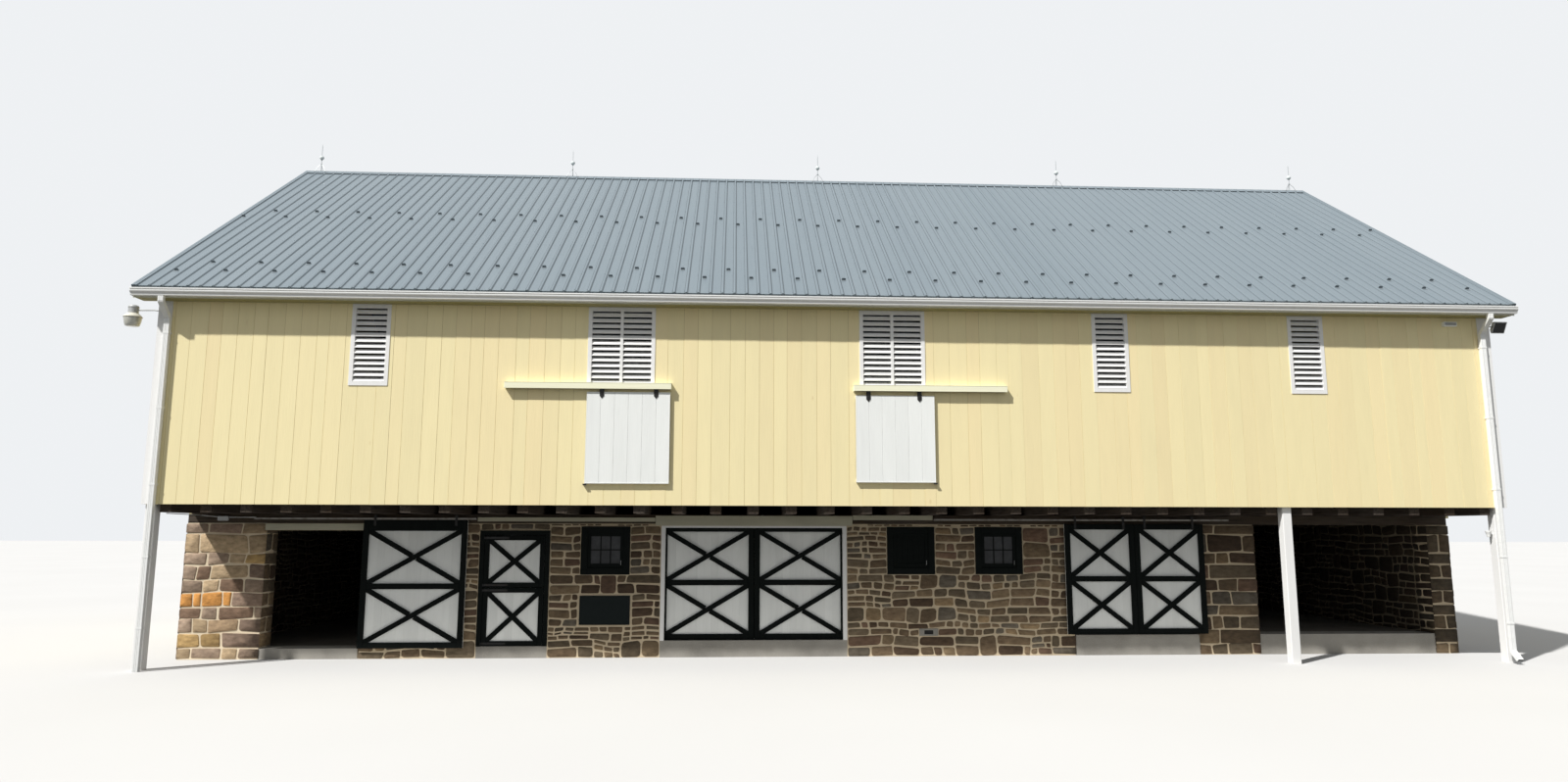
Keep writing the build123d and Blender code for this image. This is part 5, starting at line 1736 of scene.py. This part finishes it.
def make_conduit():
    """A switch box near the left pier's top, with a conduit along the wall and one forwards under the overhang."""
    pipes = Shape()
    plate, level = WALL_FACE - 0.012, CONDUIT_LEVEL
    bend = -HALF_LENGTH + 0.30
    pipes.tube([(-HALF_LENGTH + 0.75, plate, level), (-HALF_LENGTH + 1.30, plate, level)], 0.011, 8)
    up = [(-HALF_LENGTH + 0.62, plate, level), (bend, plate - 0.10, 2.77), (bend, FRONT + 0.25, 2.785)]
    pipes.tube(up, 0.008, 8)
    box = cut_corners((-HALF_LENGTH + 0.58, -HALF_LENGTH + 0.78), (2.665, 2.755), 0.008)
    pipes.prism(facing("front", WALL_FACE), box, 0.0, 0.055, 0.004)
    make("conduit_and_box", pipes, "lamp")


def make_sensor():
    """The sensor box under the right end of the front eave."""
    siding = facing("front", FRONT)
    sensor = Shape()
    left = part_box("corner_lamps")[0].x
    box = (left, left + SENSOR_SIZE[0], SENSOR_LOW, SENSOR_LOW + SENSOR_SIZE[1])
    sensor.prism(siding, rectangle(*box), 0.0, 0.078, 0.006)
    sensor.prism(siding, rectangle(*grown(box, -0.02)), 0.078, 0.085, 0.002, (0.4, 0.4, 0.4))
    make("sensor_box", sensor, "white_boards", replaces=("corner_lamps",))


def make_flood_light():
    """A flood light on an arm from the right corner board, under the gutter's end."""
    metal, lens = Shape(), Shape()
    place = Matrix.Translation(FLOOD) @ turned(FLOOD_TILT, "X") @ facing("front", 0)
    rings = [
        [place @ Vector((u, v, depth)) for u, v in rectangle(-wide, wide, -high, high)]
        for wide, high, depth in FLOOD_RINGS
    ]
    metal.rings(rings, caps=True)
    lens.prism(place, rectangle(-0.115, 0.115, -0.104, 0.104), 0.060, 0.064, 0.002)
    root = (HALF_LENGTH + 0.020, FLOOD.y, FLOOD.z)
    metal.tube([root, (FLOOD.x - 0.09, FLOOD.y, FLOOD.z)], 0.012, 8)
    metal.revolve(Matrix.Translation(root) @ turned(90, "Y"), FLOOD_FLANGE, 16)
    make("flood_light_body", metal, "lamp")
    make("flood_light_glass", lens, "pane")


def make_post_lamp():
    """A small cup-shaped lamp on the right corner post."""
    shape = Shape()
    low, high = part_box("right_corner_post")
    x, y = low.x - 0.080, (low.y + high.y) / 2
    shape.tube([(low.x, y, POST_LAMP_LEVEL), (x, y, POST_LAMP_LEVEL)], 0.011, 8)
    shape.revolve(Matrix.Translation((x, y, POST_LAMP_LEVEL)), POST_LAMP, 20)
    make("post_lamp", shape, "enamel")


make_yard_light()
make_plaque()
make_vent()
make_conduit()
make_sensor()
make_flood_light()
make_post_lamp()


# Studio
FLOOR_HALF = 220
FLOOR_LEVEL = -0.002
BACKDROP = (0.86, 0.88, 0.90)
SKY, SKY_STRENGTH = (0.96, 0.98, 1.0), 0.44
KEY_COLOUR, KEY_STRENGTH, KEY_SPREAD = (1.0, 0.98, 0.95), 4.8, 1.6
KEY_DIRECTION = (0.50, 0.42, -0.757)
# The pale strip of floor that lights the overhang from below fades out between these limits in X and Y.
APRON_ENDS = (12.8, 13.0)
APRON_FRONT = (-6.5, -6.3)
APRON_BACK = (-4.7, -4.6)
CAMERA_PLACE = (-2.189, -24.931, 2.474)
CAMERA_LENS = 22.6
CAMERA_PITCH, CAMERA_YAW, CAMERA_ROLL = 0.1415, 0.0523, 0.0014


def looking_rays(tree):
    """1 for rays that see a surface straight, mirrored or through glass, and 0 for those that light it."""
    rays = tree.nodes.new("ShaderNodeLightPath").outputs
    share = rays["Is Camera Ray"]
    for name in ("Is Glossy Ray", "Is Transmission Ray"):
        either = tree.nodes.new("ShaderNodeMath")
        either.operation = "MAXIMUM"
        tree.links.new(share, either.inputs[0])
        tree.links.new(rays[name], either.inputs[1])
        share = either.outputs[0]
    return share


def make_floor():
    """A floor that looks pale but throws little light back, except from its strip under the overhang."""
    mesh = bpy.data.meshes.new("studio_floor")
    corners = rectangle(-FLOOR_HALF, FLOOR_HALF, -FLOOR_HALF, FLOOR_HALF)
    mesh.from_pydata([(x, y, FLOOR_LEVEL) for x, y in corners], [], [(0, 1, 2, 3)])
    ground = Finish("studio_floor", 0.95, specular=0.1)
    patch = ground.noise(0.15, 2)
    shade = ground.mix(ground.between(patch, 0.3, 0.7), (0.60, 0.60, 0.595), (0.62, 0.62, 0.615))
    ends = ground.between(ground.math("ABSOLUTE", ground.axis("X")), *APRON_ENDS, 1, 0)
    across = ground.axis("Y")
    sides = ground.math("MULTIPLY", ground.between(across, *APRON_FRONT), ground.between(across, *APRON_BACK, 1, 0))
    bounce = ground.mix(ground.math("MULTIPLY", ends, sides), (0.11, 0.11, 0.105), (0.58, 0.57, 0.54))
    mesh.materials.append(ground.done(ground.mix(looking_rays(ground.tree), bounce, shade)))
    add_object("studio_floor", mesh)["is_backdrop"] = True


def make_lighting():
    """A soft key lamp from the front left and an even pale surround."""
    key = bpy.data.lights.new("key_lamp", "SUN")
    key.energy = KEY_STRENGTH
    key.angle = math.radians(KEY_SPREAD)
    key.color = KEY_COLOUR
    add_object("key_lamp", key).rotation_euler = Vector(KEY_DIRECTION).to_track_quat("-Z", "Y").to_euler()
    world = bpy.data.worlds.new("studio")
    world.use_nodes = True
    tree = world.node_tree
    light = tree.nodes["Background"]
    light.inputs["Color"].default_value = (*SKY, 1)
    light.inputs["Strength"].default_value = SKY_STRENGTH
    seen = tree.nodes.new("ShaderNodeBackground")
    seen.inputs["Color"].default_value = (*BACKDROP, 1)
    mixed = tree.nodes.new("ShaderNodeMixShader")
    for index, output in enumerate((looking_rays(tree), light.outputs[0], seen.outputs[0])):
        tree.links.new(output, mixed.inputs[index])
    tree.links.new(mixed.outputs[0], tree.nodes["World Output"].inputs["Surface"])
    bpy.context.scene.world = world


def make_camera():
    """The photograph's viewpoint: low in front, left of the middle, looking slightly up."""
    data = bpy.data.cameras.new("camera")
    data.sensor_width = 36
    data.lens = CAMERA_LENS
    data.clip_end = 600
    camera = add_object("camera", data)
    camera.location = CAMERA_PLACE
    yaw = Matrix.Rotation(-CAMERA_YAW, 4, "Z")
    pitch = Matrix.Rotation(math.pi / 2 + CAMERA_PITCH, 4, "X")
    camera.rotation_euler = (yaw @ pitch @ Matrix.Rotation(CAMERA_ROLL, 4, "Z")).to_euler()
    bpy.context.scene.camera = camera


make_floor()
make_lighting()
make_camera()
bpy.context.scene.view_settings.view_transform = "Standard"

[[list(corner) for corner in box] for box in (cad_box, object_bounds())]
